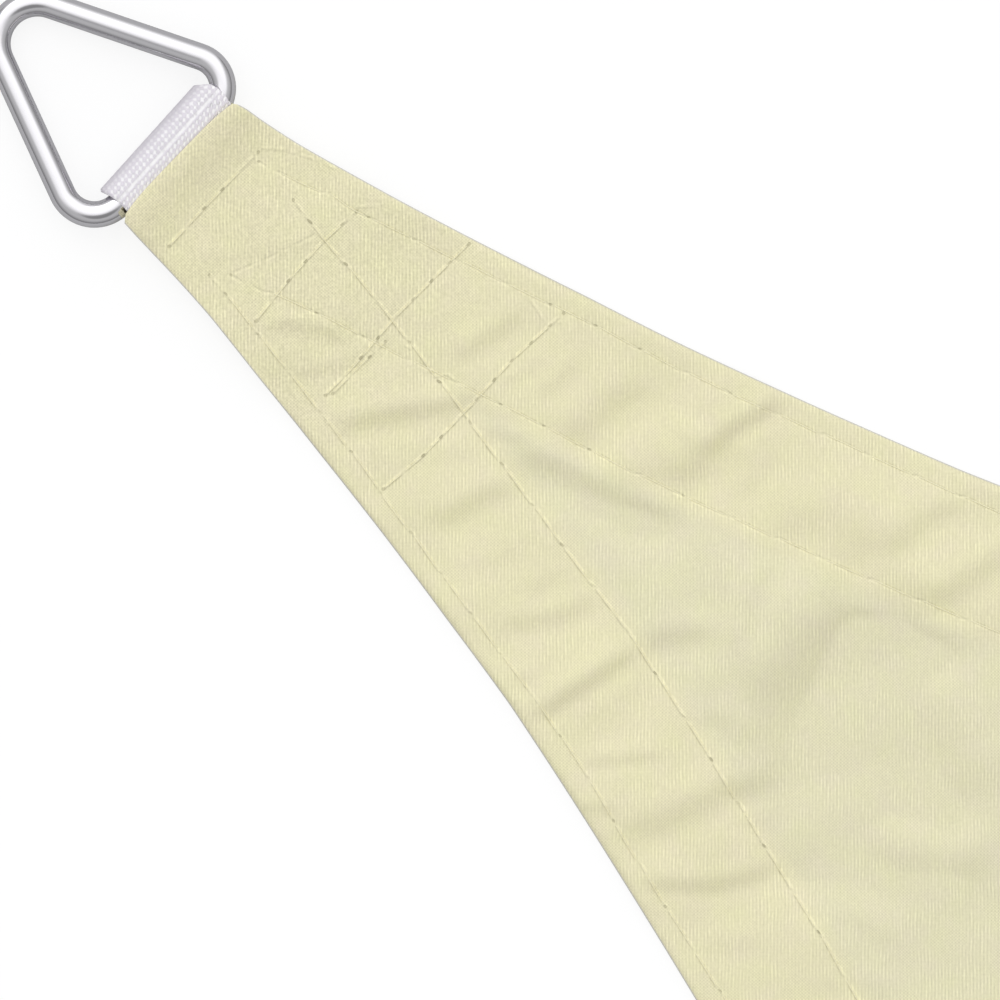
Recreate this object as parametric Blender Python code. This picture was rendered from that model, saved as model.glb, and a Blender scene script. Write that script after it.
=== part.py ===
"""Triangular shade sail, laid out flat: one hemmed cloth, three webbing loops, three wire rings.

Metres, +Z up. Each corner has its own frame: u runs from the cloth's cut end towards the middle of
the sail, v runs across, to the left of u as seen from above. The underside lies on z = 0.
"""
import math
from collections import namedtuple

import bmesh
import bpy
import numpy as np
from mathutils import Vector
from mathutils.geometry import delaunay_2d_cdt

# ---------------------------------------------------------------- driving dimensions
GAP = 0.0003                   # clearance between two pieces

END_HALF_WIDTH = 0.0166        # half the width of the cloth where it stops at the ring
EDGE_LENGTH = 2.0              # one hollow side, measured along its curve
# Direction of the hollow side, measured from the corner's centre line.
# Columns: distance along the side (m), angle (degrees). The last row is the middle of the side.
EDGE_DIRECTION = (
    (0.000, 5.5),
    (0.012, 7.4),
    (0.028, 10.6),
    (0.050, 11.7),
    (0.080, 13.2),
    (0.110, 14.6),
    (0.140, 16.4),
    (0.170, 17.9),
    (0.220, 19.6),
    (0.300, 21.2),
    (0.500, 24.2),
    (EDGE_LENGTH / 2, 30.0),
)
EDGE_STEP = 0.002              # step in which a side is worked out

FIELD_THICKNESS = 0.0012       # single cloth
HEM_LAYER = 0.0007             # each hem's turning adds this
HEM_WIDTH = 0.029              # cloth edge to the middle of the hem's inner step
HEM_STEP = 0.002               # width over which the hem's step fades

STRAP_WIDTH = 0.030
STRAP_THICKNESS = 0.00085
STRAP_TAIL_HALF = 0.0009       # half the doubled strap
STRAP_TAIL_START = 0.0098      # where the two layers meet
STRAP_TAIL_END = 0.0295
STRAP_FRONT_NARROW = 0.0024    # the ring's bend pushes the strap in by this much at its front
STRAP_FRONT_U = -0.0039        # centre of the loop's front arc
STRAP_REAR_U = -0.0012         # centre of its rear arcs
STRAP_STEPS = 12               # facets in half a turn

WIRE_RADIUS = 0.00265
# Sharp corners of the ring's centre line in the frame of the cloth's end.
# Columns: u (m), v (m), bend radius (m).
RING_CORNERS = (
    (-0.0578, -0.0018, 0.0080),
    (-0.0012, 0.0222, 0.0066),
    (-0.0040, -0.0248, 0.0070),
)
RING_BAR_U = -0.0024           # middle of the bar inside the strap
WIRE_SIDES = 14
BEND_STEPS = 7

POCKET_LENGTH = STRAP_TAIL_END + GAP
POCKET_HALF_WIDTH = STRAP_WIDTH / 2 + GAP
POCKET_WALL = 0.00085          # cloth over and under the strap
POCKET_FADE = 0.020            # length over which the corner thins out behind the strap
MOUTH_SETBACK = 0.0012         # the end's two corners stand back from its middle

LOOP_INNER = WIRE_RADIUS + GAP
LOOP_OUTER = LOOP_INNER + STRAP_THICKNESS
BAR_HEIGHT = LOOP_OUTER + 1.1 * GAP + POCKET_WALL - 0.0002
TAIL_HEIGHT = 0.0030           # middle of the strap's tail above the surface

# Name, direction of u (degrees from +X), turn of the cloth's end with its strap and ring
# (degrees), sideways place of the ring (m), mesh spacing (m), size of the creases.
Corner = namedtuple("Corner", "name direction turn shift spacing crease_size")
CORNERS = (
    Corner("a", 30.0, -2.0, 0.0, 0.0066, 1.0),
    Corner("b", 150.0, 0.5, 0.0004, 0.0100, 0.7),
    Corner("c", 270.0, 1.0, 0.0002, 0.0100, 0.7),
)

# Raised creases of a corner, in its own frame. Columns: start u, start v, end u, end v,
# height, half width (all m). Heights are those of the cloth's underside.
CORNER_CREASES = (
    (0.038, -0.012, 0.046, 0.004, 0.0010, 0.007),
    (0.052, -0.020, 0.062, 0.000, 0.0013, 0.009),
    (0.069, 0.012, 0.064, 0.030, 0.0012, 0.009),
    (0.080, -0.028, 0.084, -0.010, 0.0014, 0.009),
    (0.093, 0.004, 0.079, 0.029, 0.0013, 0.010),
    (0.116, 0.040, 0.108, 0.013, 0.0024, 0.010),
    (0.128, -0.036, 0.134, 0.012, 0.0026, 0.011),
    (0.146, -0.045, 0.149, -0.014, 0.0018, 0.009),
    (0.165, -0.056, 0.186, -0.009, 0.0028, 0.010),
    (0.163, 0.014, 0.170, 0.040, 0.0018, 0.012),
    (0.188, 0.020, 0.171, -0.010, 0.0022, 0.013),
    (0.214, -0.034, 0.205, 0.010, 0.0022, 0.014),
    (0.228, 0.024, 0.236, 0.062, 0.0024, 0.014),
    (0.262, -0.060, 0.250, -0.018, 0.0026, 0.016),
)

# Long soft folds of the middle of the sail. Columns: start x, start y, end x, end y, height,
# half width (all m), from the centre of the sail.
FIELD_FOLDS = (
    (-0.640, -0.420, -0.150, -0.300, 0.0060, 0.050),
    (-0.520, -0.230, -0.240, 0.090, 0.0050, 0.045),
    (0.560, -0.340, 0.170, -0.170, 0.0060, 0.050),
    (0.400, -0.180, 0.250, 0.160, 0.0045, 0.045),
    (0.020, 0.640, -0.080, 0.280, 0.0055, 0.048),
    (-0.130, 0.470, -0.190, 0.250, 0.0040, 0.042),
    (-0.080, -0.400, 0.160, -0.340, 0.0045, 0.045),
    (0.130, 0.120, 0.010, 0.360, 0.0045, 0.045),
)

FINE_LENGTH = 0.215            # the corner keeps its own mesh spacing up to here
SPACING_GROWTH = 0.075
SPACING_MAX = 0.046
EDGE_CLEARANCE = 0.0045        # a hem's inner line stops this far short of another edge
ROW_REACH = 40                 # mesh points each way along a row, before trimming
HEM_LINES = (HEM_WIDTH - HEM_STEP / 2, HEM_WIDTH + HEM_STEP / 2)

CLOTH_COLOUR = (0.76, 0.72, 0.50, 1.0)
STRAP_COLOUR = (0.80, 0.78, 0.82, 1.0)
STEEL_COLOUR = (0.66, 0.66, 0.67, 1.0)


# ---------------------------------------------------------------- outline of the sail
def half_side():
    """One half of a hollow side in the corner's frame: rows of (u, v), cloth end to mid side."""
    count = int(round(EDGE_LENGTH / 2 / EDGE_STEP))
    middle = (np.arange(count) + 0.5) * EDGE_STEP
    along, angle = np.array(EDGE_DIRECTION).T
    turn = np.radians(np.interp(middle, along, angle))
    start = np.array([[0.0, END_HALF_WIDTH]])
    steps = np.stack([np.cos(turn), np.sin(turn)], 1) * EDGE_STEP
    return np.vstack([start, start + np.cumsum(steps, 0)])


HALF_SIDE = half_side()
# The line from the sail's centre to a mid side makes 60 degrees with the line to the corner.
CENTRE_U = HALF_SIDE[-1, 0] + HALF_SIDE[-1, 1] / math.tan(math.radians(60.0))


def corner_axes(direction_deg):
    """The corner's u and v directions as seen from above."""
    t = math.radians(direction_deg)
    return np.array([math.cos(t), math.sin(t)]), np.array([-math.sin(t), math.cos(t)])


def to_plan(points, direction_deg):
    """Corner frame (u, v) to the plan (x, y) with the sail's centre at the origin."""
    along, across = corner_axes(direction_deg)
    points = np.asarray(points, float)
    return (points[:, :1] - CENTRE_U) * along + points[:, 1:2] * across


def to_corner(points, direction_deg):
    """Plan (x, y) to the corner's frame (u, v)."""
    along, across = corner_axes(direction_deg)
    return np.stack([points @ along + CENTRE_U, points @ across], 1)


def turned(points, turn_deg):
    """Turn (u, v) points about the middle of the cloth's end."""
    t = math.radians(turn_deg)
    cos, sin = math.cos(t), math.sin(t)
    points = np.asarray(points, float)
    return np.stack([points[:, 0] * cos - points[:, 1] * sin, points[:, 0] * sin + points[:, 1] * cos], 1)


def end_to_plan(points, corner):
    """Points of the cloth's end, its strap or its ring to the plan, with the end's own turn."""
    return to_plan(turned(points, corner.turn), corner.direction)


def next_corner(index):
    return CORNERS[(index + 1) % len(CORNERS)]


def half_side_in_plan(corner, sign, marks):
    """Points of a half side in the plan; the first sits on the turned end."""
    points = to_plan(HALF_SIDE[marks] * (1.0, sign), corner.direction)
    points[0] = end_to_plan([(MOUTH_SETBACK, sign * END_HALF_WIDTH)], corner)[0]
    return points


def mouth_points(corner):
    """The pocket's mouth, a shallow arch from its left to its right edge."""
    across = max(4, 2 * int(round(POCKET_HALF_WIDTH / corner.spacing)))
    v = POCKET_HALF_WIDTH * (1.0 - 2.0 * np.arange(across + 1) / across)
    u = 0.75 * MOUTH_SETBACK * (v / POCKET_HALF_WIDTH) ** 4
    return end_to_plan(np.stack([u, v], 1), corner)


def side_curves():
    """The three hollow sides, each a run of plan points from one corner to the next."""
    every = slice(None)
    sides = []
    for index, corner in enumerate(CORNERS):
        first = half_side_in_plan(corner, -1.0, every)
        second = half_side_in_plan(next_corner(index), 1.0, every)
        sides.append(np.vstack([first, second[::-1][1:]]))
    return sides


SIDES = side_curves()


def side_distances(points):
    """Distance from each point to each of the three sides, positive inside the sail."""
    columns = []
    for side in SIDES:
        start = side[:-1]
        run = side[1:] - start
        length2 = (run ** 2).sum(1)
        best = np.full(len(points), np.inf)
        sign = np.ones(len(points))
        for begin in range(0, len(points), 400):
            block = points[begin:begin + 400, None, :] - start[None]
            share = np.clip((block * run).sum(2) / length2, 0.0, 1.0)
            away = block - share[..., None] * run
            distance = np.sqrt((away ** 2).sum(2))
            nearest = distance.argmin(1)
            rows = np.arange(len(nearest))
            cross = run[nearest, 0] * block[rows, nearest, 1] - run[nearest, 1] * block[rows, nearest, 0]
            best[begin:begin + 400] = distance[rows, nearest]
            sign[begin:begin + 400] = np.where(cross >= 0.0, 1.0, -1.0)
        columns.append(best * sign)
    return np.stack(columns, 1)


# ---------------------------------------------------------------- heights of the cloth
def fade(value, start, end):
    """1 before start, 0 after end, smooth between."""
    share = np.clip((value - start) / (end - start), 0.0, 1.0)
    return 1.0 - share * share * (3.0 - 2.0 * share)


def crease(points, row):
    """A raised crease: a soft round ridge that dies out at both ends."""
    start = np.array(row[0:2])
    end = np.array(row[2:4])
    height, half = row[4], row[5]
    run = end - start
    share = np.clip(((points - start) @ run) / (run @ run), 0.0, 1.0)
    foot = start + share[:, None] * run
    distance = np.sqrt(((points - foot) ** 2).sum(1)) / half
    across = np.where(distance < 1.0, 0.5 + 0.5 * np.cos(np.pi * np.clip(distance, 0.0, 1.0)), 0.0)
    return height * across * (0.45 + 0.55 * np.sin(np.pi * share))


def tangent_point(centre_u, radius, target, side):
    """Where a line from target touches the circle round (centre_u, BAR_HEIGHT)."""
    du = target[0] - centre_u
    dz = target[1] - BAR_HEIGHT
    turn = math.atan2(dz, du) + side * math.acos(radius / math.hypot(du, dz))
    return (centre_u + radius * math.cos(turn), BAR_HEIGHT + radius * math.sin(turn))


def strap_line(side):
    """The strap's outer face over (side 1) or under (side -1) the bar, as (u, z) rows."""
    tail = (STRAP_TAIL_START, TAIL_HEIGHT + side * STRAP_TAIL_HALF)
    return np.array([
        (STRAP_REAR_U, BAR_HEIGHT + side * LOOP_OUTER),
        tangent_point(STRAP_REAR_U, LOOP_OUTER, tail, side),
        tail,
        (STRAP_TAIL_END, TAIL_HEIGHT + side * STRAP_TAIL_HALF),
    ])


UPPER_LINE = strap_line(1.0)
LOWER_LINE = strap_line(-1.0)


def pocket_heights(u):
    """Floor and ceiling of the pocket that takes the strap."""
    floor = np.interp(u, LOWER_LINE[:, 0], LOWER_LINE[:, 1]) - 1.1 * GAP
    ceiling = np.interp(u, UPPER_LINE[:, 0], UPPER_LINE[:, 1]) + 1.1 * GAP
    return floor, ceiling


def cloth_heights(points):
    """Lower and upper face of the cloth above the surface, and the pockets' floor and ceiling."""
    low = np.zeros(len(points))
    for corner in CORNERS:
        local = to_corner(points, corner.direction)
        near = fade(np.hypot(local[:, 0], local[:, 1]), 0.27, 0.34)
        clear = 1.0 - fade(local[:, 0], POCKET_LENGTH, POCKET_LENGTH + 0.014)
        ridges = np.zeros(len(points))
        for row in CORNER_CREASES:
            ridges = np.maximum(ridges, crease(local, row))
        low = np.maximum(low, corner.crease_size * ridges * near * clear)
    for row in FIELD_FOLDS:
        low = np.maximum(low, crease(points, row))

    distances = side_distances(points)
    high = low + FIELD_THICKNESS
    for column in range(distances.shape[1]):
        high = high + HEM_LAYER * fade(distances[:, column], HEM_LINES[0], HEM_LINES[1])

    floor = np.zeros(len(points))
    ceiling = np.zeros(len(points))
    for corner in CORNERS:
        local = turned(to_corner(points, corner.direction), -corner.turn)
        share = fade(local[:, 0], POCKET_LENGTH + 0.001, POCKET_LENGTH + POCKET_FADE)
        under, over = pocket_heights(local[:, 0])
        near = local[:, 0] < 2.0 * POCKET_LENGTH
        floor = np.where(near, under, floor)
        ceiling = np.where(near, over, ceiling)
        low = low + (np.maximum(under - POCKET_WALL, 0.0) - low) * share
        high = high + (over + POCKET_WALL - high) * share
    return low, high, floor, ceiling


# ---------------------------------------------------------------- plan of the mesh
def spacing_at(u, spacing):
    """Distance between mesh points at a distance u from the corner."""
    return min(SPACING_MAX, spacing + SPACING_GROWTH * max(0.0, u - FINE_LENGTH))


def side_stations(spacing):
    """Indices into HALF_SIDE at which the side gets a mesh point, cloth end to mid side."""
    marks = [0]
    last = len(HALF_SIDE) - 1
    while marks[-1] < last:
        step = max(1, int(round(spacing_at(HALF_SIDE[marks[-1], 0], spacing) / EDGE_STEP)))
        marks.append(marks[-1] + step)
    if last - marks[-2] < 0.5 * (marks[-1] - marks[-2]):
        marks.pop(-2)
    marks[-1] = last
    return marks


def pocket_outline(spacing):
    """The pocket's three closed sides as (u, v) rows, from mouth to mouth."""
    across = max(2, int(round(2 * POCKET_HALF_WIDTH / spacing)))
    deep = max(1, int(round(POCKET_LENGTH / spacing)))
    rows = [(POCKET_LENGTH * i / deep, -POCKET_HALF_WIDTH) for i in range(deep + 1)]
    rows += [(POCKET_LENGTH, -POCKET_HALF_WIDTH + 2 * POCKET_HALF_WIDTH * i / across)
             for i in range(1, across + 1)]
    rows += [(POCKET_LENGTH * (deep - i) / deep, POCKET_HALF_WIDTH) for i in range(1, deep + 1)]
    return np.array(rows)


class PlanPoints:
    """Collects mesh points and the lines that the triangles have to follow."""

    def __init__(self):
        self.points = []
        self.lines = []

    def add(self, rows):
        first = len(self.points)
        self.points.extend([tuple(row) for row in rows])
        return list(range(first, len(self.points)))

    def chain(self, indices):
        self.lines.extend(zip(indices[:-1], indices[1:]))


def side_points(index):
    """Mesh points along one hollow side, from its corner to the next."""
    corner = CORNERS[index]
    following = next_corner(index)
    first = half_side_in_plan(corner, -1.0, side_stations(corner.spacing))
    second = half_side_in_plan(following, 1.0, side_stations(following.spacing))
    return np.vstack([first, second[::-1][1:]])


def build_outline(plan):
    """The sail's outline, counter-clockwise, with each pocket's mouth; returns index lists."""
    loop = []
    mouths = []
    for index, corner in enumerate(CORNERS):
        mouth = plan.add(mouth_points(corner))
        mouths.append(mouth)
        loop.extend(mouth + plan.add(side_points(index)))
    return loop, mouths


def build_hem_lines(plan):
    """The two edges of each hem's step, followed right across the corners."""
    for index in range(len(CORNERS)):
        side = side_points(index)
        run = np.gradient(side, axis=0)
        inward = np.stack([-run[:, 1], run[:, 0]], 1) / np.linalg.norm(run, axis=1)[:, None]
        for depth in HEM_LINES:
            line = side + inward * depth
            distances = side_distances(line)
            distances[:, index] = np.inf
            inside = distances.min(1) > EDGE_CLEARANCE
            for corner in CORNERS:
                inside &= to_corner(line, corner.direction)[:, 0] > POCKET_LENGTH + EDGE_CLEARANCE
            plan.chain(plan.add(line[inside]))


def build_interior(plan):
    """Mesh points inside: rows across each corner, closer together near the ring."""
    for index, corner in enumerate(CORNERS):
        rows = []
        u = 0.5 * corner.spacing
        shifted = False
        while u < CENTRE_U + SPACING_MAX:
            step = spacing_at(u, corner.spacing)
            offsets = np.arange(-ROW_REACH, ROW_REACH + 1) * step + (0.5 * step if shifted else 0.0)
            line = np.stack([np.full(len(offsets), u), offsets], 1)
            points = to_plan(line, corner.direction)
            distances = side_distances(points)
            keep = distances.min(1) > 0.42 * step
            for depth in HEM_LINES:
                keep &= np.abs(distances - depth).min(1) > min(0.38 * step, 0.010)
            reach = np.stack([to_corner(points, other.direction)[:, 0] for other in CORNERS], 1)
            keep &= reach.argmin(1) == index
            end = np.abs(turned(line, -corner.turn))
            pocket_gap = np.abs(end - (POCKET_LENGTH, POCKET_HALF_WIDTH)).min(1)
            keep &= (pocket_gap > 0.4 * step) | (end[:, 0] > POCKET_LENGTH + 0.4 * step)
            keep &= np.abs(end[:, 0] - STRAP_TAIL_START) > 0.4 * step
            rows.append(points[keep])
            u += step * math.sqrt(3.0) / 2.0
            shifted = not shifted
        plan.add(np.vstack(rows))


def build_cloth():
    """The sail's cloth as one closed solid."""
    plan = PlanPoints()
    loop, mouths = build_outline(plan)
    plan.lines.extend(zip(loop, loop[1:] + loop[:1]))
    pockets = []
    for corner, mouth in zip(CORNERS, mouths):
        inner = plan.add(end_to_plan(pocket_outline(corner.spacing)[1:-1], corner))
        chain = [mouth[-1]] + inner + [mouth[0]]
        plan.chain(chain)
        pockets.append(chain)
        across = len(mouth) - 1
        v = POCKET_HALF_WIDTH * (0.9 - 1.8 * np.arange(across + 1) / across)
        plan.add(end_to_plan(np.stack([np.full(len(v), STRAP_TAIL_START), v], 1), corner))
    build_hem_lines(plan)
    build_interior(plan)

    verts, edges, faces, from_verts, _from_edges, _from_faces = delaunay_2d_cdt(
        [Vector(p) for p in plan.points], plan.lines, [], 1, 1e-6)
    plane = np.array([(v.x, v.y) for v in verts])
    where = {}
    for new, olds in enumerate(from_verts):
        for old in olds:
            where[old] = new
    low, high, floor_at, ceiling_at = cloth_heights(plane)

    centres = np.array([plane[list(face)].mean(0) for face in faces])
    inside = side_distances(centres).min(1) > 0.0
    in_pocket = np.zeros(len(faces), int) - 1
    for index, corner in enumerate(CORNERS):
        local = turned(to_corner(centres, corner.direction), -corner.turn)
        inside &= local[:, 0] > 0.0
        hit = (local[:, 0] < POCKET_LENGTH) & (np.abs(local[:, 1]) < POCKET_HALF_WIDTH)
        in_pocket[hit] = index

    mesh = bmesh.new()
    bottom = {}
    top = {}
    floor = {}
    ceiling = {}

    def vertex(table, index, height):
        if index not in table:
            table[index] = mesh.verts.new((plane[index, 0], plane[index, 1], height))
        return table[index]

    rim = {}
    for number, face in enumerate(faces):
        if not inside[number]:
            continue
        face = list(face)
        a, b, c = plane[face]
        if (b[0] - a[0]) * (c[1] - a[1]) - (b[1] - a[1]) * (c[0] - a[0]) < 0.0:
            face.reverse()
        mesh.faces.new([vertex(top, i, high[i]) for i in face])
        mesh.faces.new([vertex(bottom, i, low[i]) for i in reversed(face)])
        if in_pocket[number] >= 0:
            mesh.faces.new([vertex(floor, i, floor_at[i]) for i in face])
            mesh.faces.new([vertex(ceiling, i, ceiling_at[i]) for i in reversed(face)])
        for i, j in zip(face, face[1:] + face[:1]):
            if (j, i) in rim:
                del rim[(j, i)]
            else:
                rim[(i, j)] = in_pocket[number]

    for (i, j), pocket in rim.items():
        if pocket >= 0:
            mesh.faces.new([bottom[i], bottom[j], floor[j], floor[i]])
            mesh.faces.new([ceiling[i], ceiling[j], top[j], top[i]])
            continue
        ring = [bottom[i], bottom[j]]
        if j in floor:
            ring += [floor[j], ceiling[j]]
        ring += [top[j], top[i]]
        if i in floor:
            ring += [ceiling[i], floor[i]]
        mesh.faces.new(ring)
    for chain in pockets:
        around = [where[i] for i in chain]
        for i, j in zip(around[:-1], around[1:]):
            mesh.faces.new([floor[j], floor[i], ceiling[i], ceiling[j]])
    bmesh.ops.triangulate(mesh, faces=[f for f in mesh.faces if len(f.verts) > 4])
    return mesh


# ---------------------------------------------------------------- webbing loop
def loop_outline(radius, top, bottom):
    """From a point behind the bar, over it, round the front and back below, as (u, z) rows."""
    first = tangent_point(STRAP_REAR_U, radius, top, 1.0)
    last = tangent_point(STRAP_REAR_U, radius, bottom, -1.0)
    angles = np.linspace(0.5 * math.pi, 1.5 * math.pi, STRAP_STEPS + 1)
    front = [(STRAP_FRONT_U + radius * math.cos(t), BAR_HEIGHT + radius * math.sin(t)) for t in angles]
    above = (STRAP_REAR_U, BAR_HEIGHT + radius)
    below = (STRAP_REAR_U, BAR_HEIGHT - radius)
    return [top, first, above] + front + [below, last, bottom]


def strap_profile():
    """Outer outline with the tail, and the outline of the opening for the bar."""
    top = (STRAP_TAIL_START, TAIL_HEIGHT + STRAP_TAIL_HALF)
    bottom = (STRAP_TAIL_START, TAIL_HEIGHT - STRAP_TAIL_HALF)
    outer = loop_outline(LOOP_OUTER, top, bottom)
    outer += [(STRAP_TAIL_END, bottom[1]), (STRAP_TAIL_END, top[1])]
    apex = (STRAP_TAIL_START - 0.0004, TAIL_HEIGHT)
    inner = loop_outline(LOOP_INNER, apex, apex)[:-1]
    return np.array(outer), np.array(inner)


def build_strap(corner):
    """A closed loop of webbing with a doubled tail, extruded across its width."""
    front = STRAP_FRONT_U - LOOP_OUTER
    mesh = bmesh.new()
    rings = []
    for sign in (-1.0, 1.0):
        pair = []
        for outline in strap_profile():
            share = np.clip(outline[:, 0] / front, 0.0, 1.0) if sign > 0.0 else np.zeros(len(outline))
            v = sign * STRAP_WIDTH / 2 - STRAP_FRONT_NARROW * share
            plan = end_to_plan(np.stack([outline[:, 0], v], 1), corner)
            pair.append([mesh.verts.new((p[0], p[1], z)) for p, z in zip(plan, outline[:, 1])])
        rings.append(pair)
    for near, far in zip(*rings):
        for i, j in zip(range(len(near)), list(range(1, len(near))) + [0]):
            mesh.faces.new([near[i], near[j], far[j], far[i]])
    for pair in rings:
        edges = [mesh.edges.get((outline[i - 1], outline[i])) for outline in pair
                 for i in range(len(outline))]
        bmesh.ops.triangle_fill(mesh, use_beauty=True, edges=edges)
    bmesh.ops.recalc_face_normals(mesh, faces=mesh.faces)
    return mesh


# ---------------------------------------------------------------- wire ring
def ring_path(side_shift):
    """Centre line of the rounded triangle, as (u, v) rows in the frame of the cloth's end."""
    path = []
    count = len(RING_CORNERS)
    sharp = np.array([row[:2] for row in RING_CORNERS]) + (0.0, side_shift)
    for index in range(count):
        point = sharp[index]
        radius = RING_CORNERS[index][2]
        before = sharp[index - 1] - point
        after = sharp[(index + 1) % count] - point
        before /= np.linalg.norm(before)
        after /= np.linalg.norm(after)
        half = 0.5 * math.acos(float(before @ after))
        middle = (before + after) / np.linalg.norm(before + after)
        centre = point + middle * radius / math.sin(half)
        spoke = point + before * radius / math.tan(half) - centre
        sweep = math.pi - 2.0 * half
        if before[0] * after[1] - before[1] * after[0] > 0.0:
            sweep = -sweep
        for step in range(BEND_STEPS + 1):
            t = sweep * step / BEND_STEPS
            path.append(centre + (
                spoke[0] * math.cos(t) - spoke[1] * math.sin(t),
                spoke[0] * math.sin(t) + spoke[1] * math.cos(t)))
    return np.array(path)


def build_ring(corner):
    """Round wire bent to a triangle; its tip leans down until it rests on the surface."""
    path = ring_path(corner.shift)
    slope = (BAR_HEIGHT - WIRE_RADIUS) / (RING_BAR_U - path[:, 0].min())
    height = BAR_HEIGHT + (path[:, 0] - RING_BAR_U) * slope
    points = np.column_stack([end_to_plan(path, corner), height])
    along, _across = corner_axes(corner.direction + corner.turn)
    normal = np.array([-along[0] * slope, -along[1] * slope, 1.0])
    normal /= np.linalg.norm(normal)
    run = np.roll(points, -1, axis=0) - np.roll(points, 1, axis=0)
    side = np.cross(run, normal)
    side /= np.linalg.norm(side, axis=1)[:, None]
    mesh = bmesh.new()
    rings = []
    for point, out in zip(points, side):
        turns = [2.0 * math.pi * (step + 0.5) / WIRE_SIDES for step in range(WIRE_SIDES)]
        rings.append([mesh.verts.new(point + WIRE_RADIUS * (math.cos(t) * out + math.sin(t) * normal))
                      for t in turns])
    for ring, following in zip(rings, rings[1:] + rings[:1]):
        for step in range(WIRE_SIDES):
            after = (step + 1) % WIRE_SIDES
            mesh.faces.new([ring[step], following[step], following[after], ring[after]])
    bmesh.ops.recalc_face_normals(mesh, faces=mesh.faces)
    return mesh


# ---------------------------------------------------------------- objects
def material(name, colour, roughness, metallic):
    made = bpy.data.materials.new(name)
    made.use_nodes = True
    shader = made.node_tree.nodes["Principled BSDF"]
    shader.inputs["Base Color"].default_value = colour
    shader.inputs["Roughness"].default_value = roughness
    shader.inputs["Metallic"].default_value = metallic
    return made


def place(name, mesh, look, origin, smooth_deg):
    """Turn a bmesh into a named object whose own origin is the sail's reference point."""
    data = bpy.data.meshes.new(name)
    bmesh.ops.translate(mesh, verts=mesh.verts, vec=-origin)
    mesh.to_mesh(data)
    mesh.free()
    data.shade_smooth()
    data.set_sharp_from_angle(angle=math.radians(smooth_deg))
    data.materials.append(look)
    made = bpy.data.objects.new(name, data)
    bpy.context.scene.collection.objects.link(made)
    return made


def extent(meshes):
    """Middle of the whole part in plan, and its lowest point."""
    points = np.array([v.co[:] for mesh in meshes for v in mesh.verts])
    low = points.min(0)
    high = points.max(0)
    return Vector(((low[0] + high[0]) / 2, (low[1] + high[1]) / 2, low[2]))


def main():
    for old in list(bpy.data.objects):
        bpy.data.objects.remove(old, do_unlink=True)
    pieces = [("sail_cloth", build_cloth(), ("cloth", CLOTH_COLOUR, 0.85, 0.0), 30.0)]
    for corner in CORNERS:
        pieces.append(("webbing_loop_" + corner.name, build_strap(corner),
                       ("strap_" + corner.name, STRAP_COLOUR, 0.75, 0.0), 35.0))
    for corner in CORNERS:
        pieces.append(("corner_ring_" + corner.name, build_ring(corner),
                       ("steel_" + corner.name, STEEL_COLOUR, 0.12, 1.0), 40.0))
    origin = extent([piece[1] for piece in pieces])
    for name, mesh, look, smooth in pieces:
        place(name, mesh, material(*look), origin, smooth)


main()
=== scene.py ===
"""Triangular shade sail laid flat: hemmed woven cloth, seams, webbing loops and wire rings."""
import math
from collections import namedtuple

import bpy
import numpy as np
from bpy.props import FloatProperty, FloatVectorProperty, PointerProperty
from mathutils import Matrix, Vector
from mathutils.bvhtree import BVHTree
from mathutils.geometry import delaunay_2d_cdt
from mathutils.kdtree import KDTree


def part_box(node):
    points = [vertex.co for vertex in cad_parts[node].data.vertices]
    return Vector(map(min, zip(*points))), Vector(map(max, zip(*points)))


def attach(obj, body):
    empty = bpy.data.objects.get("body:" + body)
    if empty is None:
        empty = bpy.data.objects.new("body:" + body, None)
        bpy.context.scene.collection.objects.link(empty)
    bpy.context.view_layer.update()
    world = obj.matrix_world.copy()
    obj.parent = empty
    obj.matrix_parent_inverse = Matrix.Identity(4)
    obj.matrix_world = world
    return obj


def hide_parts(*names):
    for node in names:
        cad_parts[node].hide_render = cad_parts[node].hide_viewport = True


bl_info = {
    "name": "Shade sail",
    "version": (1, 0, 0),
    "blender": (4, 5, 0),
    "location": "View3D > Sidebar > Shade sail",
    "description": "Dresses the shade sail: cloth, stitching, webbing loops, rings and stage",
    "category": "Object",
}

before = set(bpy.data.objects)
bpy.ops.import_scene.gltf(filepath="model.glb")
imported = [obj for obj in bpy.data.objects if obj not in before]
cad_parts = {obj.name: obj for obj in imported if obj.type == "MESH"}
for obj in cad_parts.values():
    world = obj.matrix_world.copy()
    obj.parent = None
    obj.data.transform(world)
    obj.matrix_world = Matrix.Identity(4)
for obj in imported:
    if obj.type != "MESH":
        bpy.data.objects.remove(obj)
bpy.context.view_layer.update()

MM = 0.001
GAP = 0.3 * MM
POCKET_GAP = 1.1 * GAP         # between the strap's faces and the cloth

# ---------------------------------------------------------------- shape shared with the frame
END_HALF_WIDTH = 16.6 * MM     # half the width of the cloth where it stops at the ring
EDGE_LENGTH = 2.0              # one hollow side, along its curve
SIDE_STEP = 2.0 * MM
# Direction of the hollow side from the corner's centre line.
# Columns: distance along the side (m), angle (degrees).
EDGE_DIRECTION = (
    (0.000, 5.5),
    (0.012, 7.4),
    (0.028, 10.6),
    (0.050, 11.7),
    (0.080, 13.2),
    (0.110, 14.6),
    (0.140, 16.4),
    (0.170, 17.9),
    (0.220, 19.6),
    (0.300, 21.2),
    (0.500, 24.2),
    (EDGE_LENGTH / 2, 30.0),
)
FIELD_THICKNESS = 1.2 * MM
HEM_LAYER = 0.7 * MM
HEM_FOLD = 29.0 * MM           # cloth edge to the hem's inner fold

STRAP_WIDTH = 30.0 * MM
STRAP_THICKNESS = 0.85 * MM
STRAP_TAIL_START = 9.8 * MM
STRAP_TAIL_END = 29.5 * MM
STRAP_TAIL_HALF = 0.9 * MM
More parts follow.
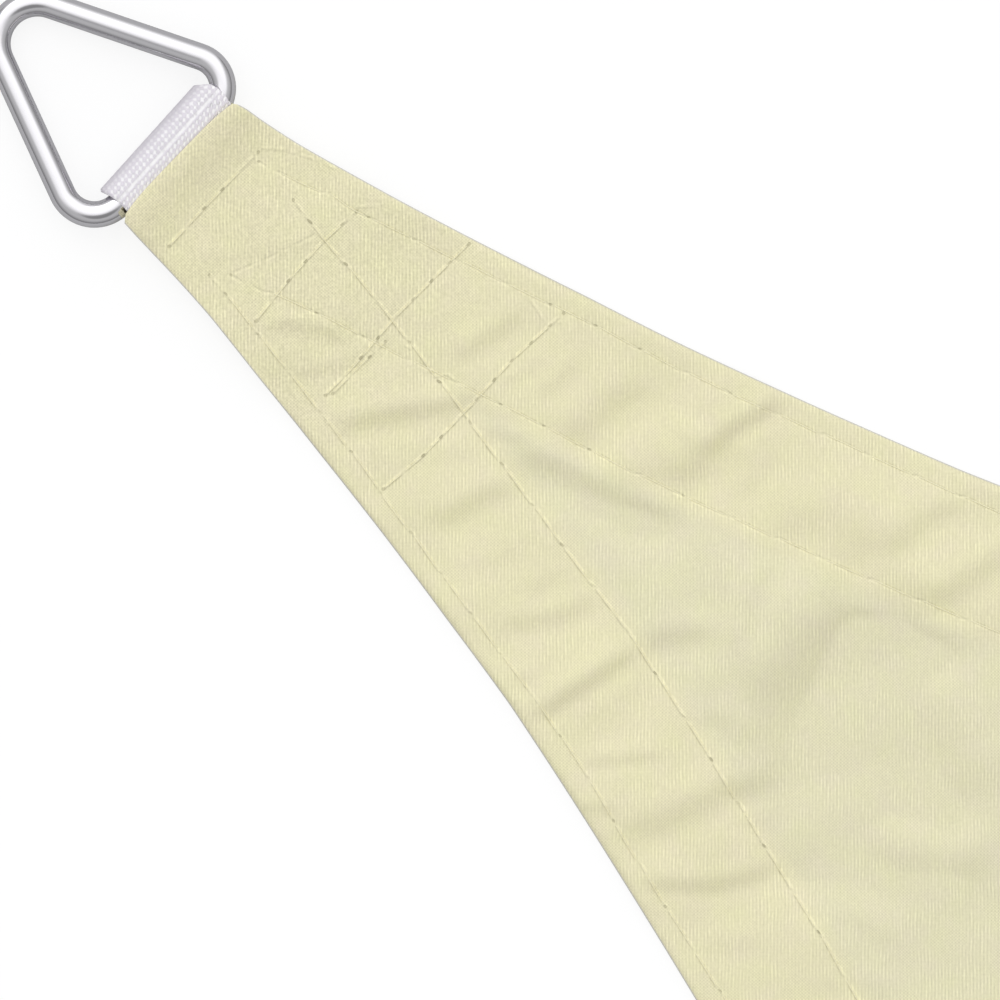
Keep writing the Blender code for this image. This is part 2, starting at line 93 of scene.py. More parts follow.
# The strap's side edges against its even width. Columns: distance of the strap's middle line from
# the cloth end, shift of the left edge, shift of the right edge, both towards the left (mm).
STRAP_EDGES = (
    (-7.3, -1.8, -0.3),
    (-6.4, -0.8, 0.0),
    (-5.2, 0.3, 0.3),
    (-3.6, 0.7, 0.5),
    (-1.6, 0.6, 0.5),
    (0.4, 0.1, 0.1),
    (2.0, 0.0, 0.0),
)
STRAP_FRONT_U = -3.9 * MM
STRAP_REAR_U = -1.2 * MM
TAIL_HEIGHT = 3.0 * MM

WIRE_RADIUS = 2.65 * MM
# Sharp corners of the ring's centre line in the frame of the cloth's end.
# Columns: u, v, bend radius (mm).
RING_CORNERS = (
    (-57.0, -1.7, 8.0),
    (-0.75, 22.2, 6.6),
    (-3.5, -24.7, 7.0),
)
RING_BAR_U = -1.95 * MM

POCKET_WALL = 0.85 * MM
POCKET_LENGTH = STRAP_TAIL_END + GAP
POCKET_HALF_WIDTH = STRAP_WIDTH / 2 + GAP
POCKET_FADE = 20.0 * MM
POCKET_ROWS = (1.8, 4.0, 6.5, 9.0, 11.5, 17.0, 24.0)  # distances from the cloth end (mm)
MOUTH_SETBACK = 1.8 * MM
MOUTH_ARCH = 0.4               # share of the setback that the mouth's own ends take
LOOP_INNER = WIRE_RADIUS + GAP
LOOP_OUTER = LOOP_INNER + STRAP_THICKNESS
BAR_HEIGHT = LOOP_OUTER + POCKET_GAP + POCKET_WALL - 0.2 * MM


# Name, direction of the centre line (degrees from +X), turn of the cloth's end with its strap and
# ring (degrees), sideways shift of the ring, distance between mesh points, how far from the end they
# are that close, share of the folds, -1 where the folds swap left and right, share of the trim.
Corner = namedtuple("Corner", "name direction turn shift spacing fine_length fold_size mirror trim")
# The first corner is the one that the photograph shows, so its mesh is the finest.
CORNERS = (
    Corner("a", 30.0, -2.0, 0.0, 0.95 * MM, 0.215, 1.0, 1.0, 1.0),
    Corner("b", 150.0, 0.5, -0.1 * MM, 1.9 * MM, 0.150, 0.8, -1.0, 0.0),
    Corner("c", 270.0, 1.0, 0.0, 1.9 * MM, 0.150, 0.8, -1.0, 0.0),
)
# The first corner's cut edge against the even curve. Columns: distance from the cloth end, shift
# of the left edge, shift of the right edge, both towards the left (mm).
EDGE_TRIM = (
    (0, -0.6, -0.2),
    (8, -0.85, -0.4),
    (16, -0.9, -0.3),
    (25, -0.7, -0.2),
    (40, -0.6, -0.4),
    (60, -0.3, -0.25),
    (80, -0.1, 0.1),
    (100, -0.3, 0.3),
    (120, -0.2, 0.75),
    (140, -0.25, 0.5),
    (160, -0.5, 0.25),
    (200, 0.0, 0.0),
)
# The corner's creases stand lower in the cloth than in the frame, which the folds below refine.
CREASE_SHARE = 0.28

# Raised creases of a corner. Columns: start u, start v, end u, end v, height, half width (mm).
CORNER_CREASES = (
    (38, -12, 46, 4, 1.0, 7),
    (52, -20, 62, 0, 1.3, 9),
    (69, 12, 64, 30, 1.2, 9),
    (80, -28, 84, -10, 1.4, 9),
    (93, 4, 79, 29, 1.3, 10),
    (116, 40, 108, 13, 2.4, 10),
    (128, -36, 134, 12, 2.6, 11),
    (146, -45, 149, -14, 1.8, 9),
    (165, -56, 186, -9, 2.8, 10),
    (163, 14, 170, 40, 1.8, 12),
    (188, 20, 171, -10, 2.2, 13),
    (214, -34, 205, 10, 2.2, 14),
    (228, 24, 236, 62, 2.4, 14),
    (262, -60, 250, -18, 2.6, 16),
)
# Long soft folds from the sail's middle. Columns: start x, start y, end x, end y, height,
# half width (mm).
FIELD_FOLDS = (
    (-640, -420, -150, -300, 6.0, 50),
    (-520, -230, -240, 90, 5.0, 45),
    (560, -340, 170, -170, 6.0, 50),
    (400, -180, 250, 160, 4.5, 45),
    (20, 640, -80, 280, 5.5, 48),
    (-130, 470, -190, 250, 4.0, 42),
    (-80, -400, 160, -340, 4.5, 45),
    (130, 120, 10, 360, 4.5, 45),
)

# ---------------------------------------------------------------- fine relief of a corner
# Places in the photograph are given in its pixels, x to the right and y down.
PICTURE_SCALE = 5.0 / MM       # pixels a metre
PICTURE_CLOTH_END = (180.0, 160.0)
PICTURE_TURN = 40.0            # degrees from the picture's right to the corner's centre line

# Soft folds whose lower flank lies in shade. Columns: points along the shaded flank in the
# photograph, its slope (a negative slope gives a lit line), half width above the line (mm), half
# width below it (mm).
FOLDS = (
    # among the corner's seams
    (((202, 262), (240, 262), (280, 252), (318, 240)), 0.10, 1.2, 3.0),
    (((222, 291), (248, 294), (272, 293)), 0.14, 1.0, 1.0),
    (((262, 330), (290, 324), (312, 328), (332, 335), (346, 341)), 0.32, 1.1, 1.6),
    (((280, 377), (318, 372), (354, 363), (372, 354), (386, 344)), 0.17, 1.3, 1.2),
    (((328, 428), (370, 420), (410, 413), (450, 407), (478, 398)), 0.38, 1.9, 2.0),
    (((450, 361), (486, 340), (526, 312)), 0.28, 1.8, 1.9),
    (((486, 432), (508, 438), (528, 441)), 0.22, 1.2, 1.2),
    (((428, 460), (474, 452)), 0.10, 1.4, 1.6),
    (((500, 384), (522, 376), (542, 362)), 0.14, 1.2, 1.4),
    # upper hem
    (((478, 404), (560, 444), (690, 506), (800, 552), (900, 596), (1000, 640)), -0.07, 1.2, 1.6),
    (((540, 395), (560, 380), (580, 362)), 0.16, 1.5, 1.8),
    (((556, 442), (590, 428), (610, 408), (650, 384)), 0.24, 3.4, 3.0),
    (((600, 474), (650, 478), (690, 474)), 0.12, 2.5, 2.0),
    (((676, 484), (704, 466), (722, 440)), 0.26, 4.4, 2.6),
    (((706, 458), (724, 437), (748, 421), (782, 402)), 0.44, 1.9, 1.4),
    (((740, 500), (758, 478), (768, 455)), 0.12, 1.4, 1.6),
    (((762, 534), (800, 530), (830, 545), (880, 562)), 0.22, 4.4, 4.0),
    (((810, 500), (850, 520), (890, 545)), 0.14, 5.0, 4.0),
    (((880, 556), (905, 540), (930, 518), (968, 503)), 0.25, 2.5, 2.0),
    (((916, 602), (950, 592), (980, 572), (1010, 548)), 0.27, 2.4, 2.6),
    # middle of the sail
    (((498, 446), (528, 456), (572, 474), (604, 492), (640, 507), (690, 526)), 0.42, 2.1, 3.0),
    (((640, 644), (668, 636), (700, 634), (716, 640)), 0.27, 2.0, 2.6),
    (((712, 712), (728, 726), (738, 742)), 0.22, 2.0, 2.0),
    (((740, 650), (748, 610), (762, 580), (776, 566)), 0.28, 2.0, 2.0),
    (((738, 700), (780, 692), (812, 674), (828, 640), (842, 612), (864, 600)), 0.16, 6.0, 6.0),
    (((838, 612), (870, 624), (905, 634), (945, 644), (970, 656)), 0.32, 2.4, 3.0),
    (((740, 900), (768, 820), (802, 700), (868, 555)), 0.32, 11.0, 10.0),
    (((885, 680), (915, 728), (950, 776), (1000, 812)), 0.22, 7.0, 6.0),
    (((860, 990), (900, 900), (960, 830)), 0.08, 9.0, 9.0),
    (((840, 852), (880, 858), (920, 862), (1000, 876)), 0.17, 3.5, 4.0),
    (((716, 782), (740, 788), (768, 778)), 0.17, 1.6, 2.0),
    (((796, 896), (806, 912)), 0.15, 1.2, 1.4),
    (((848, 912), (868, 928), (884, 946)), 0.15, 2.0, 2.4),
    (((812, 990), (850, 986), (900, 994)), 0.12, 2.0, 2.0),
    # lower hem
    (((428, 524), (458, 512), (488, 494), (520, 488)), 0.26, 2.0, 2.2),
    (((455, 575), (500, 560), (530, 540)), 0.09, 2.0, 1.8),
    (((530, 592), (562, 574)), 0.12, 1.6, 1.8),
    (((496, 628), (540, 622), (574, 613), (600, 600)), 0.21, 2.0, 1.8),
    (((512, 676), (530, 680)), 0.15, 1.4, 1.6),
    (((530, 722), (570, 695), (602, 675), (640, 648)), 0.46, 2.0, 1.5),
    (((582, 764), (620, 760), (662, 756)), 0.27, 1.4, 1.2),
    (((584, 808), (612, 809)), 0.22, 1.4, 1.4),
    (((606, 832), (660, 823), (690, 808), (716, 796), (760, 788)), 0.24, 3.0, 2.6),
    (((730, 822), (772, 820)), 0.14, 1.6, 1.6),
    (((628, 880), (670, 886), (712, 887), (750, 878), (786, 868)), 0.31, 1.8, 1.4),
    (((706, 944), (735, 948), (760, 940)), 0.13, 2.0, 2.0),
)
FOLD_STEEPNESS = 1.35
FOLD_WIDTH = 1.15
# Edges of the layers inside the corner, painted in the cloth above them as thin shadow lines with a painted
# highlight beside them.
# Columns: points along the edge in the photograph, from the side on which the cloth is raised.
LAYER_EDGES = (
    ((261, 149), (284, 151), (316, 161), (340, 172)),
    ((356, 208), (376, 207), (398, 218)),
    ((316, 235), (272, 257), (227, 276)),
    ((530, 300), (547, 326), (562, 322)),
    ((433, 377), (448, 375), (462, 388)),
    ((404, 345), (412, 350)),
)
# Seams across a corner. Columns: points along the seam (u, v in mm).
CROSS_SEAMS = (
    ((9.7, -14.7), (10.2, -4.1), (11.2, 11.2)),
    ((32.5, -15.0), (32.3, -5.0), (32.6, 5.4), (33.8, 14.8)),
    ((52.6, -17.4), (53.2, -10.3), (53.3, 3.7), (54.5, 17.8), (55.1, 24.3)),
    ((73.5, -24.3), (75.3, -14.3), (76.2, 0.0), (76.7, 12.1), (78.5, 25.8)),
)
# A second row of stitches beside the third seam.
TWIN_SEAMS = (
    ((53.5, -16.2), (54.1, -8.7), (54.9, -1.4)),
)
OUTER_SEAM_DEPTH = 5.3 * MM    # from the cloth's edge
INNER_SEAM_DEPTH = 27.9 * MM
OUTER_SEAM_START = (12.5 * MM, 19.4 * MM)  # distance from the cloth end, left and right side
INNER_SEAM_START = 22.7 * MM
INNER_SEAM_CLEARANCE = 8.0 * MM            # stops this far short of the other side's edge
HEM_PITCH = 10.0 * MM          # between needle holes along the hems
HEM_FIRST_HOLE = 2.5 * MM
CROSS_PITCH = 5.2 * MM         # between needle holes across the corners
# The first corner's hem seams against their even depth. Columns: distance from the cloth end
# along the side, shift of the outer and the inner seam on the left, then on the right (mm).
SEAM_SHIFTS = (
    (10, 2.0, 1.6, 0.0, -0.1),
    (18, 1.2, 1.5, 0.0, -0.1),
    (25, 0.4, 0.6, 0.1, -0.5),
    (29, 0.9, 0.1, 0.1, -0.4),
    (36, 0.5, -0.4, 0.0, 0.0),
    (45, 0.1, -0.5, 0.0, 0.0),
    (55, -0.2, -0.6, 0.0, 0.0),
    (66, -0.5, -1.0, -0.2, -0.2),
    (75, -0.7, -1.0, -0.7, -0.5),
    (85, -0.8, -0.8, -0.7, -0.6),
    (95, -0.7, -0.8, -0.8, -0.5),
    (105, -0.6, -0.7, -0.6, -0.5),
    (115, -0.5, -0.6, -0.8, -0.5),
    (125, -0.7, -0.7, -0.4, -0.1),
    (140, -0.8, -0.7, -0.1, -0.1),
    (155, -0.6, -0.7, -0.7, -0.2),
    (170, -0.3, -0.6, -0.8, -0.2),
    (230, 0.0, 0.0, 0.0, 0.0),
)
# How far a hand-guided seam strays. Columns: stray (mm), radians a metre, radians at its start.
SEAM_WANDER = (
    (0.30, 76.0, 1.0),
    (0.18, 203.0, 2.0),
)
SEAM_REACH = 5.0 * MM          # a seam has no effect further away than this
CROSS_SEAM_REACH = 0.12        # the seams across lie nearer to the cloth end than this
GROOVE_DEPTH = 0.14 * MM
GROOVE_HALF = 1.1 * MM
PUCKER_HEIGHT = 0.05 * MM
PUCKER_REACH = 3.0 * MM
NO_SEAM = (1.0, 0.0, -1.0)     # distance, run and room left (m) where no seam is nearby
NOT_SEWN = ("layer_edge", "edge_place")
# Look of each family of stored seam lines: its name, distance between needle holes, radius of a
# hole (mm) and strength of its painted shadow, highlight and hole shade. The layer edges aren't sewn: their
# holes are too small to show.
SEAM_LOOKS = (
    ("seam_outer", HEM_PITCH, 0.26, 0.75),
    ("seam_cross", CROSS_PITCH, 0.34, 1.25),
    ("seam_twin", CROSS_PITCH, 0.30, 1.25),
    ("layer_edge", 1.0, 0.01, 0.8),
    ("seam_inner_a", HEM_PITCH, 0.30, 1.1),
    ("seam_inner_b", HEM_PITCH, 0.28, 0.9),
    ("seam_inner_c", HEM_PITCH, 0.24, 0.8),
)
# One stitch from hole to hole: shares of its length, and the thread's height at each (mm).
STITCH_SHARES = (0.03, 0.11, 0.30, 0.50, 0.70, 0.89, 0.97)
STITCH_HEIGHTS = (-0.50, -0.02, 0.06, 0.08, 0.06, -0.02, -0.50)

CREASE_FADE = (0.27, 0.34)     # a corner's raised creases end between these distances from its end
FOLD_REACH = 0.26              # its fine folds lie nearer to the cloth end than this
# How unevenly the cloth lies. Columns: height (mm), wavelength (mm), seed.
UNEVEN_WAVES = (
    (0.05, 9.0, 7),
    (0.16, 22.0, 3),
    (0.30, 55.0, 5),
)
UNEVEN_COUNT = 9               # waves of each kind
RELIEF_FLOOR = 0.55            # share of the thickness that the relief takes away at most
ROLL_DROP = 0.72               # share of the thickness by which the rolled edge is lower
EDGE_ROLL = 1.2 * MM           # radius of the folded edge
HEM_STEP = 0.35 * MM           # the hem's inner fold shows as a step of this height
HEM_STEP_HALF = 2.0 * MM
HEM_STEP_WAVES = (5, 60.0 * MM, 11)  # how unevenly it stands out: waves, wavelength, seed
# The upper layers stand out over the strap by this much, fading away from the cloth end.
END_REACH = 0.65 * MM
END_SLANT = 0.035              # further on the right side, less on the left
END_REACH_FADE = 9.0 * MM
COLLAR = 0.8                   # height of the side wall's middle row between under and upper edge
# Keeps the painted grey shade of the rolled edge off the side walls and the underside.
EDGE_SHADE_FREE_DEPTH = 1.0 * MM            # the side walls and the underside count as at least this far in

EDGE_ROWS = (0.12 * MM, 0.35 * MM, 0.75 * MM)
SEAM_ROW_REACH = 1.7 * MM
GRID_GROWTH = 0.06
GRID_MAX = 11.0 * MM
SIDE_STATION_MAX = 5.0 * MM
UNDERSIDE_COARSER = 5.0
UNDERSIDE_MAX = 30.0 * MM


# ---------------------------------------------------------------- plan of the sail
def half_side():
    """One half of a hollow side in the corner's frame, cloth end to mid side."""
    count = int(round(EDGE_LENGTH / 2 / SIDE_STEP))
    along, angle = np.array(EDGE_DIRECTION).T
    turn = np.radians(np.interp((np.arange(count) + 0.5) * SIDE_STEP, along, angle))
    start = np.array([[0.0, END_HALF_WIDTH]])
    steps = np.stack([np.cos(turn), np.sin(turn)], 1) * SIDE_STEP
    return np.vstack([start, start + np.cumsum(steps, 0)])


HALF_SIDE = half_side()
CENTRE_U = HALF_SIDE[-1, 0] + HALF_SIDE[-1, 1] / math.tan(math.radians(60.0))


def corner_axes(corner):
    t = math.radians(corner.direction)
    return np.array([math.cos(t), math.sin(t)]), np.array([-math.sin(t), math.cos(t)])


def turned(points, turn_deg):
    t = math.radians(turn_deg)
    cos, sin = math.cos(t), math.sin(t)
    points = np.asarray(points, float)
    return np.stack([points[:, 0] * cos - points[:, 1] * sin, points[:, 0] * sin + points[:, 1] * cos], 1)


def to_plan(points, corner):
    """Corner frame (u, v) to the plan with the sail's centre at the origin."""
    along, across = corner_axes(corner)
    points = np.asarray(points, float)
    return (points[:, :1] - CENTRE_U) * along + points[:, 1:2] * across


def to_corner(points, corner):
    along, across = corner_axes(corner)
    return np.stack([points @ along + CENTRE_U, points @ across], 1)


def end_to_plan(points, corner):
    """Points of the cloth's end, its strap or its ring, with the end's own turn."""
    return to_plan(turned(points, corner.turn), corner)


def to_end(points, corner):
    return turned(to_corner(points, corner), -corner.turn)


def end_half_side(corner, sign, trim):
    """One half of a hollow side in the plan, cloth end first, with a share of the trim."""
    at, left, right = np.array(EDGE_TRIM).T * MM
    shift = trim * np.interp(HALF_SIDE[:, 0], at, left if sign > 0.0 else right)
    points = to_plan(HALF_SIDE * (1.0, sign) + np.stack([0.0 * shift, shift], 1), corner)
    first = end_to_plan([(MOUTH_SETBACK, sign * END_HALF_WIDTH + shift[0])], corner)
    beyond = HALF_SIDE[:, 0] > to_corner(first, corner)[0, 0] + 0.5 * SIDE_STEP
    return np.vstack([first, points[beyond]])


class Side:
    """One hollow side of the sail as a fine line with its running length."""

    def __init__(self, first, second):
        self.corners = (first, second)
        start = end_half_side(first, -1.0, first.trim)
        end = end_half_side(second, 1.0, second.trim)
        self.points = np.vstack([start, end[::-1][1:]])
        self.steps = np.diff(self.points, axis=0)
        self.runs = np.concatenate([[0.0], np.cumsum(np.linalg.norm(self.steps, axis=1))])
        self.length = self.runs[-1]
        self.tree = KDTree(len(self.points))
        for index, point in enumerate(self.points):
            self.tree.insert((point[0], point[1], 0.0), index)
        self.tree.balance()

    def at(self, runs, depth=0.0):
        """Plan points at these running lengths, set in from the edge by depth."""
        runs = np.asarray(runs, float)
        tangent = np.gradient(self.points, axis=0)
        x, y, tx, ty = (np.interp(runs, self.runs, values)
                        for values in np.column_stack([self.points, tangent]).T)
        size = np.hypot(tx, ty)
        return np.stack([x - ty / size * depth, y + tx / size * depth], 1)

    def measure(self, points):
        """Depth inside the side and running length of the nearest edge point."""
        nearest = np.array([self.tree.find((x, y, 0.0))[1] for x, y in points.tolist()])
        best = np.full(len(points), np.inf)
        depth = np.zeros(len(points))
        run = np.zeros(len(points))
        for segment in (nearest - 1, nearest):
            segment = np.clip(segment, 0, len(self.steps) - 1)
            step = self.steps[segment]
            offset = points - self.points[segment]
            length2 = (step ** 2).sum(1)
            share = np.clip((offset * step).sum(1) / length2, 0.0, 1.0)
            away = np.linalg.norm(offset - share[:, None] * step, axis=1)
            sign = np.where(step[:, 0] * offset[:, 1] - step[:, 1] * offset[:, 0] >= 0.0, 1.0, -1.0)
            closer = away < best
            best = np.where(closer, away, best)
            depth = np.where(closer, sign * away, depth)
            run = np.where(closer, self.runs[segment] + share * np.sqrt(length2), run)
        return depth, run


SIDES = [Side(corner, CORNERS[(index + 1) % 3]) for index, corner in enumerate(CORNERS)]


def side_measures(points):
    """Depths and running lengths from the three sides, one column a side."""
    pairs = [side.measure(points) for side in SIDES]
    return np.stack([p[0] for p in pairs], 1), np.stack([p[1] for p in pairs], 1)


def plan_shift():
    """Offset from the plan's centre to the frame's own origin, from the cloth's box."""
    halves = [end_half_side(corner, sign, 0.0) for corner in CORNERS for sign in (1.0, -1.0)]
    outline = np.vstack(halves + [mouth_line(corner, 5.0 * MM) for corner in CORNERS])
    low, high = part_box("sail_cloth")
    middle = 0.5 * (np.array(low[:2]) + np.array(high[:2]))
    return middle - 0.5 * (outline.min(0) + outline.max(0))


def mouth_line(corner, spacing):
    """The pocket's mouth, a shallow arch from its left to its right edge."""
    across = 2 * int(round(POCKET_HALF_WIDTH / spacing))
    v = POCKET_HALF_WIDTH * (1.0 - 2.0 * np.arange(across + 1) / across)
    return end_to_plan(np.stack([mouth_arch(v), v], 1), corner)


def mouth_arch(v):
    """How far the mouth's line lies behind the cloth end."""
    return MOUTH_ARCH * MOUTH_SETBACK * np.clip(np.abs(v) / POCKET_HALF_WIDTH, 0.0, 1.1) ** 4


SHIFT = plan_shift()


# ---------------------------------------------------------------- seams
def wander(run):
    """How far a hand-guided seam strays from its line."""
    return sum(stray * MM * np.sin(run * rate + start) for stray, rate, start in SEAM_WANDER)


def stitch_slant(run):
    """Each long stitch lies a little aslant and beside the one before."""
    turn = (run - HEM_FIRST_HOLE) / HEM_PITCH
    number = np.floor(turn)
    aside = 0.08 * MM * np.sin(2.4 * number)
    return aside + (0.10 + 0.08 * np.sin(1.7 * number)) * MM * (1.0 - 2.0 * (turn - number))


def seam_depth(side, run, inner):
    """Distance of the outer (0) or inner (1) hem seam from the edge at these running lengths."""
    stray = wander(run + 0.4 * inner)
    shifts = np.array(SEAM_SHIFTS).T * MM
    for end, column in ((0, 3), (1, 1)):
        if side.corners[end] is CORNERS[0]:
            away = side.length - run if end else run
            near = fade(away, shifts[0][-2], shifts[0][-1])
            stray = stray * (1.0 - near) + near * np.interp(away, shifts[0], shifts[column + inner])
    return (OUTER_SEAM_DEPTH, INNER_SEAM_DEPTH)[inner] + stray + stitch_slant(run)


def line_measure(points, line):
    """Signed distance, running length and room left before the nearer end of a short line."""
    line = np.asarray(line, float)
    starts = line[:-1]
    steps = np.diff(line, axis=0)
    lengths = np.linalg.norm(steps, axis=1)
    total = lengths.sum()
    best = np.full(len(points), np.inf)
    distance = np.zeros(len(points))
    run = np.zeros(len(points))
    for index, (start, step, length) in enumerate(zip(starts, steps, lengths)):
        offset = points - start
        share = (offset @ step) / length ** 2
        low = -np.inf if index == 0 else 0.0
        high = np.inf if index == len(steps) - 1 else 1.0
        share = np.clip(share, low, high)
        away = np.linalg.norm(offset - share[:, None] * step, axis=1)
        sign = np.where(step[0] * offset[:, 1] - step[1] * offset[:, 0] >= 0.0, 1.0, -1.0)
        closer = away < best
        best = np.where(closer, away, best)
        distance = np.where(closer, sign * away, distance)
        run = np.where(closer, lengths[:index].sum() + share * length, run)
    return distance, run, np.minimum(run, total - run)


def corner_line(line, corner):
    """A line of a corner in metres; corners that mirror the first swap left and right."""
    return np.asarray(line, float) * MM * (1.0, corner.mirror)


def from_picture(line):
    """Points of the photograph as (u, v) of the first corner in mm."""
    offset = (np.asarray(line, float) - PICTURE_CLOTH_END) / (PICTURE_SCALE * MM) * (1.0, -1.0)
    return turned(offset, PICTURE_TURN)


def nearest_seam(points, seams):
    """Distance, run and room left of the nearest of these seams in any corner."""
    fields = np.tile(NO_SEAM, (len(points), 1))
    closest = np.full(len(points), np.inf)
    for corner in CORNERS:
        local = to_corner(points, corner)
        near = np.flatnonzero(local[:, 0] < CROSS_SEAM_REACH)
        for seam in seams:
            if not len(near):
                continue
            distance, run, room = line_measure(local[near], corner_line(seam, corner))
            distance = distance * corner.mirror
            real = np.hypot(distance, np.minimum(room, 0.0))
            closer = real < closest[near]
            chosen = near[closer]
            closest[chosen] = real[closer]
            fields[chosen] = seam_field(distance, run, room)[closer]
    return fields


def seam_field(distance, run, room):
    """Distance, run and room left as rows; the room closes a little way beside the seam."""
    return np.stack([distance, run, np.minimum(room, SEAM_REACH - np.abs(distance))], 1)


def seam_fields(points, depths, runs):
    """For each family of seams: distance, run and room left. These also drive the cloth's look."""
    local = np.stack([to_corner(points, corner) for corner in CORNERS], 1)
    nearest = local[:, :, 0].argmin(1)
    rows = np.arange(len(points))
    from_end = local[rows, nearest, 0]
    left = local[rows, nearest, 1] > 0.0
    fields = {}
    side = depths.argmin(1)
    edge_run = runs[rows, side]
    start = np.where(left, OUTER_SEAM_START[0], OUTER_SEAM_START[1])
    at = np.select([side == index for index in range(3)],
                   [seam_depth(SIDES[index], edge_run, 0) for index in range(3)])
    fields["seam_outer"] = seam_field(
        depths[rows, side] - at, edge_run - HEM_FIRST_HOLE, from_end - start)
    for index, corner in enumerate(CORNERS):
        others = np.delete(depths, index, axis=1).min(1)
        room = np.minimum(others - INNER_SEAM_CLEARANCE, from_end - INNER_SEAM_START)
        run = runs[:, index]
        fields["seam_inner_" + corner.name] = seam_field(
            depths[:, index] - seam_depth(SIDES[index], run, 1), run - HEM_FIRST_HOLE, room)
    fields["seam_cross"] = nearest_seam(points, CROSS_SEAMS)
    fields["seam_twin"] = nearest_seam(points, TWIN_SEAMS)
    fields["layer_edge"] = nearest_seam(points, [from_picture(line) for line in LAYER_EDGES])
    fields["edge_place"] = np.stack([depths.min(1), from_end, np.zeros(len(points))], 1)
    return fields


# ---------------------------------------------------------------- heights of the cloth
def fade(value, start, end):
    """1 before start, 0 after end, smooth between."""
    share = np.clip((value - start) / (end - start), 0.0, 1.0)
    return 1.0 - share * share * (3.0 - 2.0 * share)


def crease(points, row):
    """A raised crease: a soft round ridge that dies out at both ends."""
    start, end = np.array(row[0:2]) * MM, np.array(row[2:4]) * MM
    height, half = row[4] * MM, row[5] * MM
    run = end - start
    share = np.clip(((points - start) @ run) / (run @ run), 0.0, 1.0)
    distance = np.linalg.norm(points - start - share[:, None] * run, axis=1) / half
    across = np.where(distance < 1.0, 0.5 + 0.5 * np.cos(np.pi * np.clip(distance, 0.0, 1.0)), 0.0)
    return height * across * (0.45 + 0.55 * np.sin(np.pi * share))


def fold_heights(points):
    """How far the cloth's underside stands off the surface."""
    low = np.zeros(len(points))
    for corner in CORNERS:
        local = to_corner(points, corner)
        near = fade(np.hypot(local[:, 0], local[:, 1]), *CREASE_FADE)
        clear = 1.0 - fade(local[:, 0], POCKET_LENGTH, POCKET_LENGTH + 14.0 * MM)
        ridges = np.zeros(len(points))
        for row in CORNER_CREASES:
            ridges = np.maximum(ridges, crease(local, row))
        low = np.maximum(low, CREASE_SHARE * corner.fold_size * ridges * near * clear)
    for row in FIELD_FOLDS:
        low = np.maximum(low, crease(points, row))
    return low


def fold(local, row):
    """A gentle rise, a steeper shaded flank along the line and a gentle rise again."""
    line, slope, above, below = row
    line = from_picture(line) * MM
    distance, _run, room = line_measure(local, line)
    length = np.linalg.norm(np.diff(line, axis=0), axis=1).sum()
    half = FOLD_WIDTH * np.where(distance > 0.0, above, below) * MM
    ends = fade(-room, -0.25 * length, 2.0 * MM)
    return FOLD_STEEPNESS * slope * distance * ends * np.exp(-0.5 * (distance / half) ** 2)


def soft_waves(points, count, wavelength, seed):
    """Gentle unevenness: a sum of waves that run in all directions, about 1 high."""
    rng = np.random.default_rng(seed)
    total = np.zeros(len(points))
    for _wave in range(count):
        angle = rng.uniform(0.0, math.pi)
        number = 2.0 * math.pi / (wavelength * rng.uniform(0.7, 1.5))
        along = points[:, 0] * math.cos(angle) + points[:, 1] * math.sin(angle)
        total += np.sin(along * number + rng.uniform(0.0, 2.0 * math.pi))
    return total / math.sqrt(count)


def seam_relief(fields):
    """Grooves and puckers along the seams, pulled in by the thread."""
    relief = np.zeros(len(fields["seam_outer"]))
    for name, field in fields.items():
        if name in NOT_SEWN:
            continue
        pitch = CROSS_PITCH if name in ("seam_cross", "seam_twin") else HEM_PITCH
        distance, run, room = field.T
        active = fade(-room, 0.0, 2.0 * MM)
        groove = np.exp(-(distance / GROOVE_HALF) ** 2)
        pull = 0.8 + 0.2 * np.cos(2.0 * np.pi * run / pitch)
        phase = 2.0 * np.pi * run / (1.3 * pitch) + 2.0 * np.sin(run * 90.0)
        puckers = np.sin(phase) * np.exp(-np.abs(distance) / PUCKER_REACH)
        relief -= active * (GROOVE_DEPTH * groove * pull + PUCKER_HEIGHT * puckers)
    return relief


def pocket_heights(u):
    """Floor and ceiling of the pocket that takes the strap."""
    floor = np.interp(u, LOWER_LINE[:, 0], LOWER_LINE[:, 1]) - POCKET_GAP
    ceiling = np.interp(u, UPPER_LINE[:, 0], UPPER_LINE[:, 1]) + POCKET_GAP
    return floor, ceiling


def tangent_point(centre_u, radius, target, side):
    """Where a line from target touches the circle round (centre_u, BAR_HEIGHT)."""
    du = target[0] - centre_u
    dz = target[1] - BAR_HEIGHT
    turn = math.atan2(dz, du) + side * math.acos(radius / math.hypot(du, dz))
    return (centre_u + radius * math.cos(turn), BAR_HEIGHT + radius * math.sin(turn))


def strap_line(side):
    """The strap's outer face over (side 1) or under (side -1) the bar, as (u, z) rows."""
    tail = (STRAP_TAIL_START, TAIL_HEIGHT + side * STRAP_TAIL_HALF)
    return np.array([
        (STRAP_REAR_U, BAR_HEIGHT + side * LOOP_OUTER),
        tangent_point(STRAP_REAR_U, LOOP_OUTER, tail, side),
        tail,
        (STRAP_TAIL_END, TAIL_HEIGHT + side * STRAP_TAIL_HALF),
    ])


UPPER_LINE = strap_line(1.0)
LOWER_LINE = strap_line(-1.0)


# Upper face of the cloth's end over the strap. Columns: distance from the cloth end, height (mm).
END_PROFILE = (
    (-2.0, 9.95),
    (0.5, 9.9),
    (2.5, 9.4),
    (4.5, 8.3),
    (7.0, 6.9),
    (9.0, 6.2),
    (12.0, 5.9),
    (20.0, 5.75),
    (31.0, 5.25),
    (42.0, 4.0),
    (58.0, 2.3),
    (70.0, 1.9),
)


